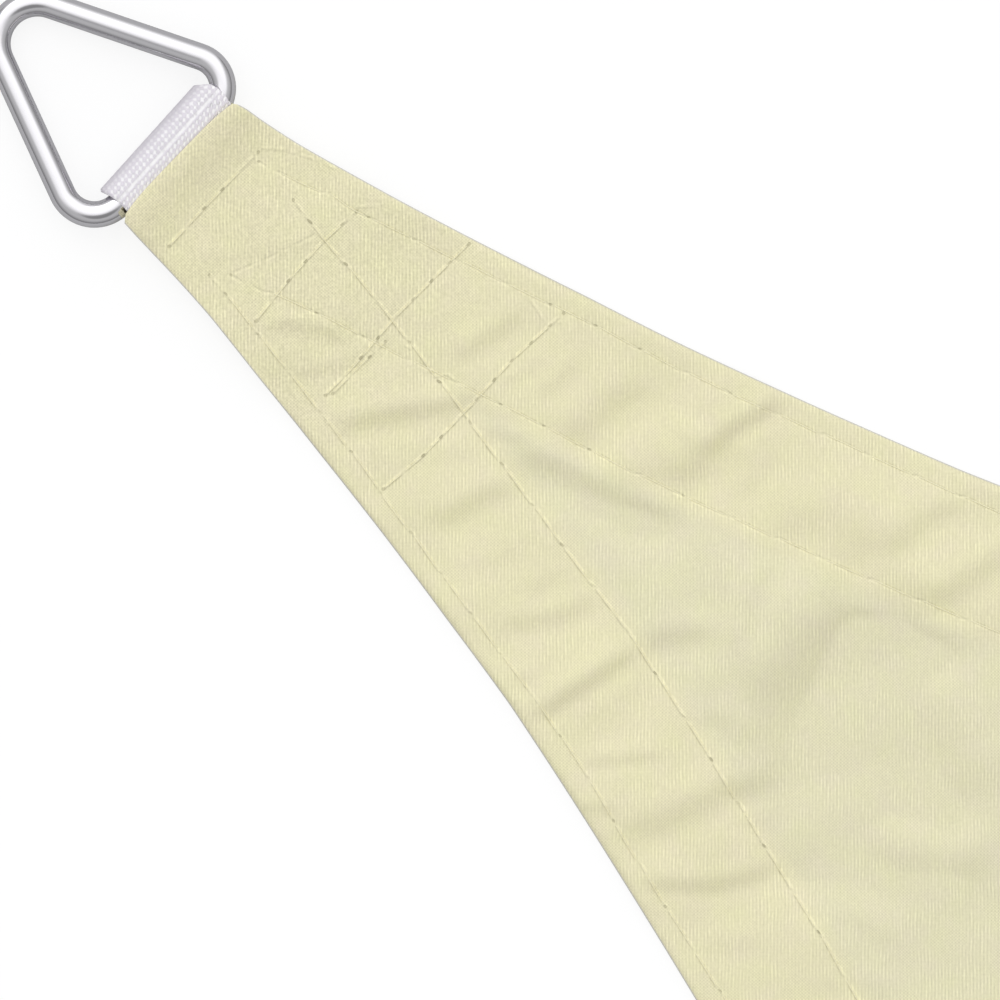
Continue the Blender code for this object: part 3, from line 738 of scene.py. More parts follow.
def end_height(u):
    """The stiff layered corner bridges softly from the strap down to the hems."""
    at, height = np.array(END_PROFILE).T * MM
    fine = np.linspace(at[0], at[-1], 400)
    smooth = np.convolve(np.pad(np.interp(fine, at, height), 10, mode="edge"), np.ones(21) / 21, "valid")
    return np.interp(u, fine, smooth)


def underside_height(points):
    low = fold_heights(points)
    for corner in CORNERS:
        local = to_end(points, corner)
        share = fade(local[:, 0], POCKET_LENGTH + 1.0 * MM, POCKET_LENGTH + POCKET_FADE)
        under, _over = pocket_heights(local[:, 0])
        low = low + (np.maximum(under - POCKET_WALL, 0.0) - low) * share
    return low


def corner_relief(points):
    """The listed wrinkles of the corners."""
    relief = np.zeros(len(points))
    for corner in CORNERS:
        local = to_corner(points, corner)
        near = np.flatnonzero(local[:, 0] < FOLD_REACH)
        if not len(near):
            continue
        place = local[near] * (1.0, corner.mirror)
        for row in FOLDS:
            relief[near] += corner.fold_size * fold(place, row)
    return relief


def cloth_top(points):
    """Height of the cloth's upper face, with the seam fields worked out on the way."""
    depths, runs = side_measures(points)
    fields = seam_fields(points, depths, runs)
    low = fold_heights(points)
    uneven = 1.0 + 0.6 * soft_waves(points, *HEM_STEP_WAVES)
    step = HEM_STEP * np.clip(uneven, 0.2, 1.8)
    inside = fade(depths.min(1), HEM_FOLD - HEM_STEP_HALF, HEM_FOLD + HEM_STEP_HALF)
    thickness = FIELD_THICKNESS + HEM_LAYER - HEM_STEP + step * inside
    high = low + thickness
    mouth = np.full(len(points), np.inf)
    for corner in CORNERS:
        local = to_end(points, corner)
        share = fade(local[:, 0], POCKET_LENGTH + 8.0 * MM, POCKET_LENGTH + 1.6 * POCKET_FADE)
        high = high + (end_height(local[:, 0]) - high) * share
        thickness = thickness + (POCKET_WALL - thickness) * share
        mouth = np.minimum(mouth, local[:, 0] - mouth_arch(local[:, 1]))
    relief = corner_relief(points) + seam_relief(fields)
    for height, wavelength, seed in UNEVEN_WAVES:
        relief += height * MM * soft_waves(points, UNEVEN_COUNT, wavelength * MM, seed)
    relief = np.maximum(relief, -RELIEF_FLOOR * thickness)
    edge = np.clip(np.minimum(depths.min(1), mouth) / EDGE_ROLL, 0.0, 1.0)
    roll = np.sqrt(1.0 - (1.0 - edge) ** 2)
    high = high + relief * fade(-edge, -1.0, 0.0) - thickness * ROLL_DROP * (1.0 - roll)
    return high, fields


# ---------------------------------------------------------------- plan of the mesh
def grid_step(u, corner, coarser=1.0, largest=GRID_MAX):
    """Distance between mesh points at a distance u from the cloth's end."""
    step = coarser * corner.spacing + GRID_GROWTH * coarser ** 0.5 * np.maximum(0.0, u - corner.fine_length)
    return np.minimum(largest, step)


def side_stations(side):
    """Running lengths at which a side gets a mesh point."""
    halves = []
    for corner in side.corners:
        runs = [0.0]
        while runs[-1] < side.length / 2:
            step = min(float(grid_step(runs[-1], corner)), SIDE_STATION_MAX)
            runs.append(runs[-1] + step)
        halves.append(np.array(runs) * (side.length / 2 / runs[-1]))
    return np.concatenate([halves[0], side.length - halves[1][::-1][1:]])


def outline_points():
    """Outline of the cloth, counter-clockwise, and which of its points belong to each mouth."""
    rows = []
    mouths = []
    count = 0
    for index, corner in enumerate(CORNERS):
        mouth = mouth_line(corner, corner.spacing)
        mouths.append(list(range(count, count + len(mouth))))
        side = SIDES[index].at(side_stations(SIDES[index]))
        side[0] = SIDES[index].points[0]
        side[-1] = SIDES[index].points[-1]
        rows += [mouth, side]
        count += len(mouth) + len(side)
    return np.vstack(rows), mouths


def edge_rows():
    """Mesh points just inside the edge, which carry its rolled shape."""
    rows = []
    for side in SIDES:
        stations = side_stations(side)[1:-1]
        rows += [side.at(stations, depth) for depth in EDGE_ROWS]
    for corner in CORNERS:
        mouth = to_end(mouth_line(corner, corner.spacing), corner)
        rows += [end_to_plan(mouth + (depth, 0.0), corner) for depth in EDGE_ROWS]
    return np.vstack(rows)


def seam_rows():
    """Mesh points along the hem seams, outside the finest part of the mesh, and their depths."""
    rows = []
    depths = []
    for middle in (OUTER_SEAM_DEPTH, INNER_SEAM_DEPTH):
        depths += [middle - SEAM_ROW_REACH, middle, middle + SEAM_ROW_REACH]
    for side in SIDES:
        stations = side_stations(side)
        rows += [side.at(stations, depth) for depth in depths]
    points = np.vstack(rows)
    return points[in_coarse_part(points)], depths


def in_coarse_part(points):
    local = to_corner(points, CORNERS[0])
    return local[:, 0] > CORNERS[0].fine_length + 10.0 * MM


def grid_points(coarser=1.0, largest=GRID_MAX, keep_clear=EDGE_ROWS[-1], row_depths=()):
    """Mesh points inside the sail: rows across each corner, wider apart away from it."""
    kept = []
    for index, corner in enumerate(CORNERS):
        rows = []
        steps = []
        u = 0.5 * coarser * corner.spacing
        shifted = False
        while u < CENTRE_U + largest:
            step = float(grid_step(u, corner, coarser, largest))
            reach = float(np.interp(u, HALF_SIDE[:, 0], HALF_SIDE[:, 1])) + step
            reach = min(reach, (CENTRE_U - u) * math.tan(math.radians(60.0)) + HALF_SIDE[-1, 1])
            count = int(reach / step) + 1
            offsets = np.arange(-count, count + 1) * step + (0.5 * step if shifted else 0.0)
            rows.append(np.stack([np.full(len(offsets), u), offsets], 1))
            steps.append(np.full(len(offsets), step))
            u += step * math.sqrt(3.0) / 2.0
            shifted = not shifted
        points = to_plan(np.vstack(rows), corner)
        steps = np.concatenate(steps)
        nearest = np.stack([to_corner(points, other)[:, 0] for other in CORNERS], 1).argmin(1)
        points, steps = points[nearest == index], steps[nearest == index]
        depths, _runs = side_measures(points)
        keep = depths.min(1) > keep_clear + 0.35 * steps
        end = to_end(points, corner)
        keep &= end[:, 0] > MOUTH_SETBACK + keep_clear + 0.35 * steps
        if row_depths:
            coarse = in_coarse_part(points)
            for depth in row_depths:
                apart = np.abs(depths - depth).min(1) > np.minimum(0.4 * steps, 2.0 * MM)
                keep &= apart | ~coarse
        kept.append(points[keep])
    return np.vstack(kept)


def triangles_over(points, loop):
    """Triangles over the plan points that lie inside the closed loop of indices."""
    edges = list(zip(loop, loop[1:] + loop[:1]))
    found, _edges, faces, origins, _oe, _of = delaunay_2d_cdt(
        [Vector(p) for p in points.tolist()], edges, [], 1, 1e-7)
    if len(found) != len(points):
        raise RuntimeError("the plan of the mesh holds points that coincide")
    order = np.array([origin[0] for origin in origins])
    faces = order[np.array(faces)]
    a, b, c = (points[faces[:, k]] for k in range(3))
    turn = (b[:, 0] - a[:, 0]) * (c[:, 1] - a[:, 1]) - (b[:, 1] - a[:, 1]) * (c[:, 0] - a[:, 0])
    faces[turn < 0.0] = faces[turn < 0.0][:, ::-1]
    return faces


def inside_sail(points, faces):
    centres = points[faces].mean(1)
    depths, _runs = side_measures(centres)
    inside = depths.min(1) > 0.0
    for corner in CORNERS:
        local = to_end(centres, corner)
        inside &= local[:, 0] > mouth_arch(local[:, 1]) - 0.02 * MM
    return faces[inside]


def pocket_rows(corner):
    """The pocket's three closed sides as plan points, from mouth to mouth."""
    deep = 12
    across = 12
    length, half = POCKET_LENGTH, POCKET_HALF_WIDTH
    rows = [(length * i / deep, -half) for i in range(1, deep + 1)]
    rows += [(length, -half + 2 * half * i / across) for i in range(1, across + 1)]
    rows += [(length * (deep - i) / deep, half) for i in range(1, deep)]
    return end_to_plan(rows, corner)


def pocket_middle(corner):
    """Plan points inside the pocket, which keep its floor and ceiling along the strap."""
    across = 8
    half = 0.86 * POCKET_HALF_WIDTH
    rows = [(u * MM, half * (2.0 * i / across - 1.0)) for u in POCKET_ROWS for i in range(across + 1)]
    return end_to_plan(rows, corner)


class MeshParts:
    """Collects the vertices and faces of one mesh."""

    def __init__(self):
        self.verts = []
        self.faces = []
        self.count = 0

    def add_verts(self, plan, heights):
        """Adds vertices and returns the index of the first."""
        first = self.count
        self.verts.append(np.column_stack([plan, heights]))
        self.count += len(plan)
        return first

    def add_faces(self, faces):
        self.faces += [tuple(int(i) for i in face) for face in faces]


def reached(plan):
    """Plan points of the upper layers, drawn out over the strap near each cloth end."""
    moved = np.array(plan)
    for corner in CORNERS:
        outward = end_to_plan([(-1.0, 0.0)], corner)[0] - end_to_plan([(0.0, 0.0)], corner)[0]
        local = to_end(plan, corner)
        slanted = np.clip(local[:, 1], -END_HALF_WIDTH, END_HALF_WIDTH)
        share = fade(local[:, 0], 0.5 * MOUTH_SETBACK, END_REACH_FADE)
        moved += ((END_REACH - END_SLANT * slanted) * share)[:, None] * outward
    return moved


def cloth_mesh():
    """The cloth as one closed thin sheet, its seam fields and how many upper vertices have them."""
    outline, mouths = outline_points()
    rim_count = len(outline)
    loop = list(range(rim_count))
    hem_rows, row_depths = seam_rows()
    fine = np.vstack([outline, edge_rows(), hem_rows, grid_points(row_depths=row_depths)])
    coarse = np.vstack([outline, grid_points(UNDERSIDE_COARSER, UNDERSIDE_MAX, 1.5 * MM)])
    top_faces = inside_sail(fine, triangles_over(fine, loop))
    under_faces = inside_sail(coarse, triangles_over(coarse, loop))

    parts = MeshParts()
    top_height, fields = cloth_top(fine)
    under_height = underside_height(coarse)
    top = parts.add_verts(reached(fine), top_height)
    under = parts.add_verts(coarse, under_height)
    parts.add_faces(top_faces + top)
    parts.add_faces(under_faces[:, ::-1] + under)

    in_mouth = {}
    for corner, mouth in zip(CORNERS, mouths):
        border = np.vstack([outline[mouth], pocket_rows(corner)])
        plan = np.vstack([border, pocket_middle(corner)])
        faces = triangles_over(plan, list(range(len(border))))
        over = reached(plan)
        floor_at, _ceiling_at = pocket_heights(to_end(plan, corner)[:, 0])
        _floor_at, ceiling_at = pocket_heights(to_end(over, corner)[:, 0])
        floor = parts.add_verts(plan, floor_at)
        ceiling = parts.add_verts(over, ceiling_at)
        parts.add_faces(faces + floor)
        parts.add_faces(faces[:, ::-1] + ceiling)
        around = list(range(len(mouth) - 1, len(border))) + [0]
        parts.add_faces([(floor + j, floor + i, ceiling + i, ceiling + j)
                         for i, j in zip(around[:-1], around[1:])])
        for place, index in enumerate(mouth):
            in_mouth[index] = (floor + place, ceiling + place)

    plain = np.array([i for i in loop if i not in in_mouth])
    middle = under_height[plain] + COLLAR * (top_height[plain] - under_height[plain])
    first = parts.add_verts(outline[plain], middle)
    collar = {int(i): first + place for place, i in enumerate(plain)}
    for i, j in zip(loop, loop[1:] + loop[:1]):
        if i in collar and j in collar:
            parts.add_faces([(under + i, under + j, collar[j], collar[i])])
            parts.add_faces([(collar[i], collar[j], top + j, top + i)])
        elif i in in_mouth and j in in_mouth:
            parts.add_faces([(under + i, under + j, in_mouth[j][0], in_mouth[i][0])])
            parts.add_faces([(in_mouth[i][1], in_mouth[j][1], top + j, top + i)])
        else:
            after = list(in_mouth[j]) if j in in_mouth else [collar[j]]
            before = list(in_mouth[i][::-1]) if i in in_mouth else [collar[i]]
            parts.add_faces([[under + i, under + j] + after + [top + j, top + i] + before])
    return parts, fields, len(fine)


def sail_object(name, verts, faces, material, smooth_deg):
    """A smooth mesh object in the row frame from plan-frame vertices."""
    data = bpy.data.meshes.new(name)
    verts = np.asarray(verts, float) + (SHIFT[0], SHIFT[1], 0.0)
    data.from_pydata(verts.tolist(), [], faces)
    data.update()
    data.shade_smooth()
    if smooth_deg:
        data.set_sharp_from_angle(angle=math.radians(smooth_deg))
    data.materials.append(material)
    return new_object(name, data)


def new_object(name, data):
    made = bpy.data.objects.new(name, data)
    bpy.context.scene.collection.objects.link(made)
    return made


def add_point_vectors(obj, name, values):
    """Stores a vector for each vertex, which the material reads by name."""
    layer = obj.data.attributes.new(name, "FLOAT_VECTOR", "POINT")
    layer.data.foreach_set("vector", np.asarray(values, np.float32).ravel())


# ---------------------------------------------------------------- stitches
def hem_stitch_lines(shares):
    """Plan points of every hem stitch, one row a stitch."""
    lines = []
    for index, side in enumerate(SIDES):
        marks = HEM_FIRST_HOLE + np.arange(int(side.length / HEM_PITCH)) * HEM_PITCH
        runs = marks[:, None] + HEM_PITCH * shares
        for inner, name in enumerate(("seam_outer", "seam_inner_" + CORNERS[index].name)):
            points = side.at(runs.ravel(), seam_depth(side, runs.ravel(), inner))
            fields = seam_fields(points, *side_measures(points))
            room = fields[name][:, 2].reshape(runs.shape)
            found = points.reshape(*runs.shape, 2)[room.min(1) > -0.5 * MM]
            lines += list(found)
    return lines


def cross_stitch_lines(shares):
    """Plan points of every stitch across the corners, one row a stitch."""
    lines = []
    for corner in CORNERS:
        for seam in CROSS_SEAMS + TWIN_SEAMS:
            line = corner_line(seam, corner)
            lengths = np.linalg.norm(np.diff(line, axis=0), axis=1)
            runs = np.concatenate([[0.0], np.cumsum(lengths)])
            for number in range(int(runs[-1] / CROSS_PITCH)):
                at = (number + shares) * CROSS_PITCH
                local = np.stack([np.interp(at, runs, line[:, k]) for k in range(2)], 1)
                lines.append(to_plan(local, corner))
    return lines


def surface_heights(cloth, points):
    """Height of the cloth's mesh at plan points."""
    data = cloth.data
    tree = BVHTree.FromPolygons([v.co for v in data.vertices], [p.vertices for p in data.polygons])
    down = Vector((0.0, 0.0, -1.0))
    found = [tree.ray_cast((x, y, 0.1), down)[0] for x, y in (points + SHIFT).tolist()]
    if None in found:
        raise RuntimeError("a stitch lies beside the cloth")
    return np.array([place.z for place in found])


def thread_mesh(cloth, lines, lift, radius, sides=6):
    """A tube along each stitch that dips into the cloth at both ends."""
    lines = np.array(lines)
    count, steps = lines.shape[:2]
    heights = surface_heights(cloth, lines.reshape(-1, 2)).reshape(count, steps)
    slack = np.random.default_rng(4).uniform(0.4, 1.0, (count, 1))
    centre = np.dstack([lines, heights + np.where(lift > 0.0, lift * slack, lift)])
    run = np.gradient(centre, axis=1)
    run /= np.linalg.norm(run, axis=2)[:, :, None]
    across = np.cross(run, (0.0, 0.0, 1.0))
    across /= np.linalg.norm(across, axis=2)[:, :, None]
    up = np.cross(across, run)
    angles = 2.0 * np.pi * (np.arange(sides) + 0.5) / sides
    taper = np.array([0.7] + [1.0] * (steps - 2) + [0.7])
    rings = centre[:, :, None] + radius * taper[None, :, None, None] * (
        across[:, :, None] * np.cos(angles)[None, None, :, None]
        + up[:, :, None] * np.sin(angles)[None, None, :, None])
    verts = rings.reshape(-1, 3)
    base = (np.arange(count) * steps * sides)[:, None, None]
    along = (np.arange(steps - 1) * sides)[None, :, None]
    turn = np.arange(sides)[None, None, :]
    after = (turn + 1) % sides
    quads = np.stack(np.broadcast_arrays(
        base + along + turn, base + along + after,
        base + along + sides + after, base + along + sides + turn), -1).reshape(-1, 4)
    faces = quads.tolist()
    for start in (np.arange(count) * steps * sides).tolist():
        last = start + (steps - 1) * sides
        faces.append(list(range(start, start + sides))[::-1])
        faces.append(list(range(last, last + sides)))
    return verts, faces


# ---------------------------------------------------------------- webbing and rings
def strap_path():
    """Middle line of the webbing: in along the top of the tail, round the bar, back below."""
    radius = LOOP_INNER + STRAP_THICKNESS / 2
    half = STRAP_TAIL_HALF / 2
    top = (STRAP_TAIL_START, TAIL_HEIGHT + half)
    bottom = (STRAP_TAIL_START, TAIL_HEIGHT - half)
    rows = [(STRAP_TAIL_END - i * (STRAP_TAIL_END - STRAP_TAIL_START) / 6, top[1]) for i in range(6)]
    first = tangent_point(STRAP_REAR_U, radius, top, 1.0)
    last = tangent_point(STRAP_REAR_U, radius, bottom, -1.0)
    rows += straight(top, first, 14)
    rows += arc_rows(STRAP_REAR_U, radius, angle_of(first), 0.5 * math.pi, 6)
    rows += straight((STRAP_REAR_U, BAR_HEIGHT + radius), (STRAP_FRONT_U, BAR_HEIGHT + radius), 8)
    rows += arc_rows(STRAP_FRONT_U, radius, 0.5 * math.pi, 1.5 * math.pi, 30)
    rows += straight((STRAP_FRONT_U, BAR_HEIGHT - radius), (STRAP_REAR_U, BAR_HEIGHT - radius), 4)
    rows += arc_rows(STRAP_REAR_U, radius, 1.5 * math.pi, 2.0 * math.pi + angle_of(last), 4)
    rows += straight(last, bottom, 6)
    rows += [(STRAP_TAIL_START + i * (STRAP_TAIL_END - STRAP_TAIL_START) / 6, bottom[1]) for i in range(7)]
    return np.array(rows)


def angle_of(point):
    return math.atan2(point[1] - BAR_HEIGHT, point[0] - STRAP_REAR_U)


# Raised floats of the webbing: the first row's place and the rows' distance, measured round the
# strap from its front, and each row's sideways shift as a share of the floats' pitch.
FLOAT_ROW_START = 3.8 * MM
FLOAT_ROW_STEP = 1.05 * MM
FLOAT_STAGGER = 0.42
FLOAT_HEIGHT = 0.10 * MM
CREST_HIGHLIGHT_ROW = 5.95 * MM         # painted highlight across the strap where the loop's crest faces up
STRAP_EDGE_ROUNDING = 0.45 * MM


def straight(start, end, count):
    start, end = np.array(start), np.array(end)
    return [tuple(start + (end - start) * i / count) for i in range(count)]


def arc_rows(centre_u, radius, start, end, count):
    turns = [start + (end - start) * i / count for i in range(count)]
    return [(centre_u + radius * math.cos(t), BAR_HEIGHT + radius * math.sin(t)) for t in turns]


def strap_mesh(corner, dot_pitch):
    """A woven band with rounded edges and raised floats, folded round the ring's bar."""
    path = strap_path()
    run = np.gradient(path, axis=0)
    run /= np.linalg.norm(run, axis=1)[:, None]
    normal = np.stack([run[:, 1], -run[:, 0]], 1)
    length = np.concatenate([[0.0], np.cumsum(np.linalg.norm(np.diff(path, axis=0), axis=1))])
    across = 72
    edge = np.sin(np.linspace(-0.5 * np.pi, 0.5 * np.pi, across + 1))
    flat = np.linspace(-1.0, 1.0, across + 1)
    share = 0.12 * edge + 0.88 * flat
    half_width = STRAP_WIDTH / 2
    v = share * half_width
    rounding = np.clip((half_width - np.abs(v)) / STRAP_EDGE_ROUNDING, 0.0, 1.0)
    half_thick = 0.5 * STRAP_THICKNESS * np.sqrt(1.0 - (1.0 - rounding) ** 2) * 0.94 + 0.02 * MM
    at, left, right = np.array(STRAP_EDGES).T * MM
    leftward = 0.5 + 0.5 * flat[None, :]
    lean = (np.interp(path[:, 0], at, right)[:, None] * (1.0 - leftward)
            + np.interp(path[:, 0], at, left)[:, None] * leftward)
    front_row = int(path[:, 0].argmin())
    s = length[front_row] - length[:, None]
    rows = (s - FLOAT_ROW_START) / FLOAT_ROW_STEP
    columns = v[None, :] / dot_pitch + FLOAT_STAGGER * rows
    floats = 0.25 * (1.0 + np.cos(2 * np.pi * rows)) * (1.0 + np.cos(2 * np.pi * columns))
    relief = FLOAT_HEIGHT * floats * (rounding[None, :] > 0.99)
    faces = []
    verts = []
    places = []
    for layer in (1.0, -1.0):
        thick = half_thick[None, :] + (relief if layer > 0.0 else 0.0)
        u = path[:, :1] + layer * normal[:, :1] * thick
        z = path[:, 1:] + layer * normal[:, 1:] * thick
        plan = end_to_plan(np.stack([u.ravel(), (v[None, :] + lean).ravel()], 1), corner)
        verts.append(np.column_stack([plan, z.ravel()]))
        place = np.broadcast_arrays(s, v, np.full(u.shape, layer))
        places.append(np.column_stack([values.ravel() for values in place]))
    wide = across + 1
    tall = len(path)
    size = wide * tall
    for i in range(tall - 1):
        for j in range(across):
            a = i * wide + j
            faces.append((a, a + wide, a + wide + 1, a + 1))
            faces.append((size + a, size + a + 1, size + a + wide + 1, size + a + wide))
    rim = [i * wide for i in range(tall)]
    rim += [(tall - 1) * wide + j for j in range(1, wide)]
    rim += [i * wide + across for i in range(tall - 2, -1, -1)]
    rim += [j for j in range(across - 1, 0, -1)]
    for a, b in zip(rim, rim[1:] + rim[:1]):
        faces.append((b, a, size + a, size + b))
    return np.vstack(verts), faces, np.vstack(places)


def ring_path(side_shift, bend_steps):
    """Centre line of the rounded triangle, as (u, v) rows in the frame of the cloth's end."""
    sharp = np.array([row[:2] for row in RING_CORNERS]) * MM + (0.0, side_shift)
    path = []
    for index in range(3):
        point = sharp[index]
        radius = RING_CORNERS[index][2] * MM
        before = sharp[index - 1] - point
        after = sharp[(index + 1) % 3] - point
        before /= np.linalg.norm(before)
        after /= np.linalg.norm(after)
        half = 0.5 * math.acos(float(before @ after))
        middle = (before + after) / np.linalg.norm(before + after)
        centre = point + middle * radius / math.sin(half)
        spoke = point + before * radius / math.tan(half) - centre
        sweep = math.pi - 2.0 * half
        if before[0] * after[1] - before[1] * after[0] > 0.0:
            sweep = -sweep
        for step in range(bend_steps + 1):
            t = sweep * step / bend_steps
            path.append(centre + (
                spoke[0] * math.cos(t) - spoke[1] * math.sin(t),
                spoke[0] * math.sin(t) + spoke[1] * math.cos(t)))
    return np.array(path)


def ring_mesh(corner, sides=36, bend_steps=22):
    """Round wire bent to a triangle; its tip leans down until it rests on the surface."""
    path = ring_path(corner.shift, bend_steps)
    slope = (BAR_HEIGHT - WIRE_RADIUS) / (RING_BAR_U - path[:, 0].min())
    height = BAR_HEIGHT + (path[:, 0] - RING_BAR_U) * slope
    points = np.column_stack([end_to_plan(path, corner), height])
    along = end_to_plan([(1.0, 0.0)], corner)[0] - end_to_plan([(0.0, 0.0)], corner)[0]
    normal = np.array([-along[0] * slope, -along[1] * slope, 1.0])
    normal /= np.linalg.norm(normal)
    run = np.roll(points, -1, axis=0) - np.roll(points, 1, axis=0)
    out = np.cross(run, normal)
    out /= np.linalg.norm(out, axis=1)[:, None]
    angles = 2.0 * np.pi * (np.arange(sides) + 0.5) / sides
    rings = points[:, None] + WIRE_RADIUS * (
        out[:, None] * np.cos(angles)[None, :, None] + normal * np.sin(angles)[None, :, None])
    count = len(points)
    faces = []
    for i in range(count):
        j = (i + 1) % count
        for k in range(sides):
            m = (k + 1) % sides
            faces.append((i * sides + k, i * sides + m, j * sides + m, j * sides + k))
    return rings.reshape(-1, 3), faces


# ---------------------------------------------------------------- node helpers
def add_node(tree, kind, inputs=None, **settings):
    """A node with its settings made, and its sockets set or joined."""
    made = tree.nodes.new(kind)
    for name, value in settings.items():
        setattr(made, name, value)
    set_inputs(tree, made, inputs or {})
    return made


def set_inputs(tree, node, inputs):
    """Sets a node's sockets to values, or joins other nodes' sockets to them."""
    for name, value in inputs.items():
        if isinstance(value, bpy.types.NodeSocket):
            tree.links.new(value, node.inputs[name])
        else:
            node.inputs[name].default_value = value


def calc(tree, operation, *values):
    return add_node(tree, "ShaderNodeMath", dict(enumerate(values)), operation=operation).outputs[0]


def chain(tree, operation, values):
    """The operation over all the values, from the first to the last."""
    total = values[0]
    for value in values[1:]:
        total = calc(tree, operation, total, value)
    return total


def times(tree, *values):
    return chain(tree, "MULTIPLY", values)


def plus(tree, *values):
    return chain(tree, "ADD", values)


def wave(tree, turns):
    """1 at every whole turn and -1 half way between."""
    return calc(tree, "COSINE", times(tree, turns, 2.0 * math.pi))


def split(tree, vector):
    return add_node(tree, "ShaderNodeSeparateXYZ", {0: vector}).outputs


def noise(tree, vector, scale, detail=1.0, roughness=0.5, dimensions="3D"):
    return add_node(tree, "ShaderNodeTexNoise", {
        "Vector": vector, "Scale": scale, "Detail": detail, "Roughness": roughness},
        noise_dimensions=dimensions).outputs[0]


def stored_vector(tree, name):
    """The vector that a mesh stores for each of its points under this name."""
    return add_node(tree, "ShaderNodeAttribute", attribute_name=name).outputs["Vector"]


def bump(tree, height):
    made = add_node(tree, "ShaderNodeBump", {"Height": height, "Strength": 1.0, "Distance": 1.0})
    return made.outputs[0]


def ramp(tree, value, low, high, to_low=0.0, to_high=1.0):
    """Smooth change of a value from to_low to to_high between low and high."""
    made = add_node(tree, "ShaderNodeMapRange", {
        "Value": value, "From Min": low, "From Max": high, "To Min": to_low, "To Max": to_high},
        interpolation_type="SMOOTHSTEP")
    return made.outputs["Result"]


def blend_colour(tree, share, first, second, blend_type="MIX"):
    first, second = (
        (*value, 1.0) if isinstance(value, tuple) else value for value in (first, second))
    return add_node(tree, "ShaderNodeMix", {0: share, 6: first, 7: second},
                    data_type="RGBA", blend_type=blend_type).outputs[2]


def tint(tree, colour, value):
    """Colour multiplied by a value near 1."""
    grey = add_node(tree, "ShaderNodeCombineColor", {"Red": value, "Green": value, "Blue": value})
    return blend_colour(tree, 1.0, colour, grey.outputs[0], "MULTIPLY")


def new_group(name, inputs, outputs):
    """An empty shader group; inputs give their defaults, and None stands for a vector."""
    tree = bpy.data.node_groups.new(name, "ShaderNodeTree")
    for label, value in inputs.items():
        kind = "NodeSocketVector" if value is None else "NodeSocketFloat"
        socket = tree.interface.new_socket(label, in_out="INPUT", socket_type=kind)
        if value is not None:
            socket.default_value = value
    for label in outputs:
        tree.interface.new_socket(label, in_out="OUTPUT", socket_type="NodeSocketFloat")
    entry = tree.nodes.new("NodeGroupInput")
    return tree, entry.outputs, tree.nodes.new("NodeGroupOutput")


def place_group(tree, name, build, inputs):
    """Places the group of this name, which is built the first time that it is asked for."""
    group = bpy.data.node_groups.get(name) or build(name)
    return add_node(tree, "ShaderNodeGroup", inputs, node_tree=group).outputs


def mottle(tree, place, size, amount):
    return place_group(tree, "Soft mottle", soft_mottle, {
        "Place": place, "Size": size, "Amount": amount})["Tone"]


def plain_weave(name):
    """Ribs with broken floats that carry painted glints, and picks across them."""
    tree, given, leave = new_group(
        name, {"Place": None, "Rib pitch": 0.0007, "Pick pitch": 0.0006, "Patch size": 0.009},
        ("Rib", "Float", "Cross", "Height"))
    x, y, _z = split(tree, given["Place"])
    wobble = noise(tree, given["Place"], 120.0, dimensions="2D")
    ribs = calc(tree, "MULTIPLY_ADD", wobble, 0.7, calc(tree, "DIVIDE", x, given["Rib pitch"]))
    picks = calc(tree, "DIVIDE", y, given["Pick pitch"])
    rib = wave(tree, ribs)
    pick = wave(tree, picks)
    cell = add_node(tree, "ShaderNodeCombineXYZ", {
        0: times(tree, ribs, 0.8), 1: times(tree, picks, 0.24)}).outputs[0]
    slub = noise(tree, cell, 1.0, 2.0, 0.6, "2D")
    size = calc(tree, "DIVIDE", 1.0, given["Patch size"])
    patch = noise(tree, given["Place"], size, dimensions="2D")
    clear = ramp(tree, patch, 0.40, 0.62, 1.0, 0.35)
    broken = ramp(tree, slub, 0.36, 0.60, 0.25, 1.0)
    # painted glints where the floats' crowns catch the light
    glint = times(tree, ramp(tree, rib, 0.1, 0.95), ramp(tree, slub, 0.46, 0.64))
    set_inputs(tree, leave, {
        "Rib": times(tree, rib, broken, clear),
        "Float": times(tree, glint, clear),
        "Cross": times(tree, rib, pick, ramp(tree, patch, 0.50, 0.62)),
        "Height": plus(tree, times(tree, rib, 0.6), times(tree, pick, 0.25))})
    return tree


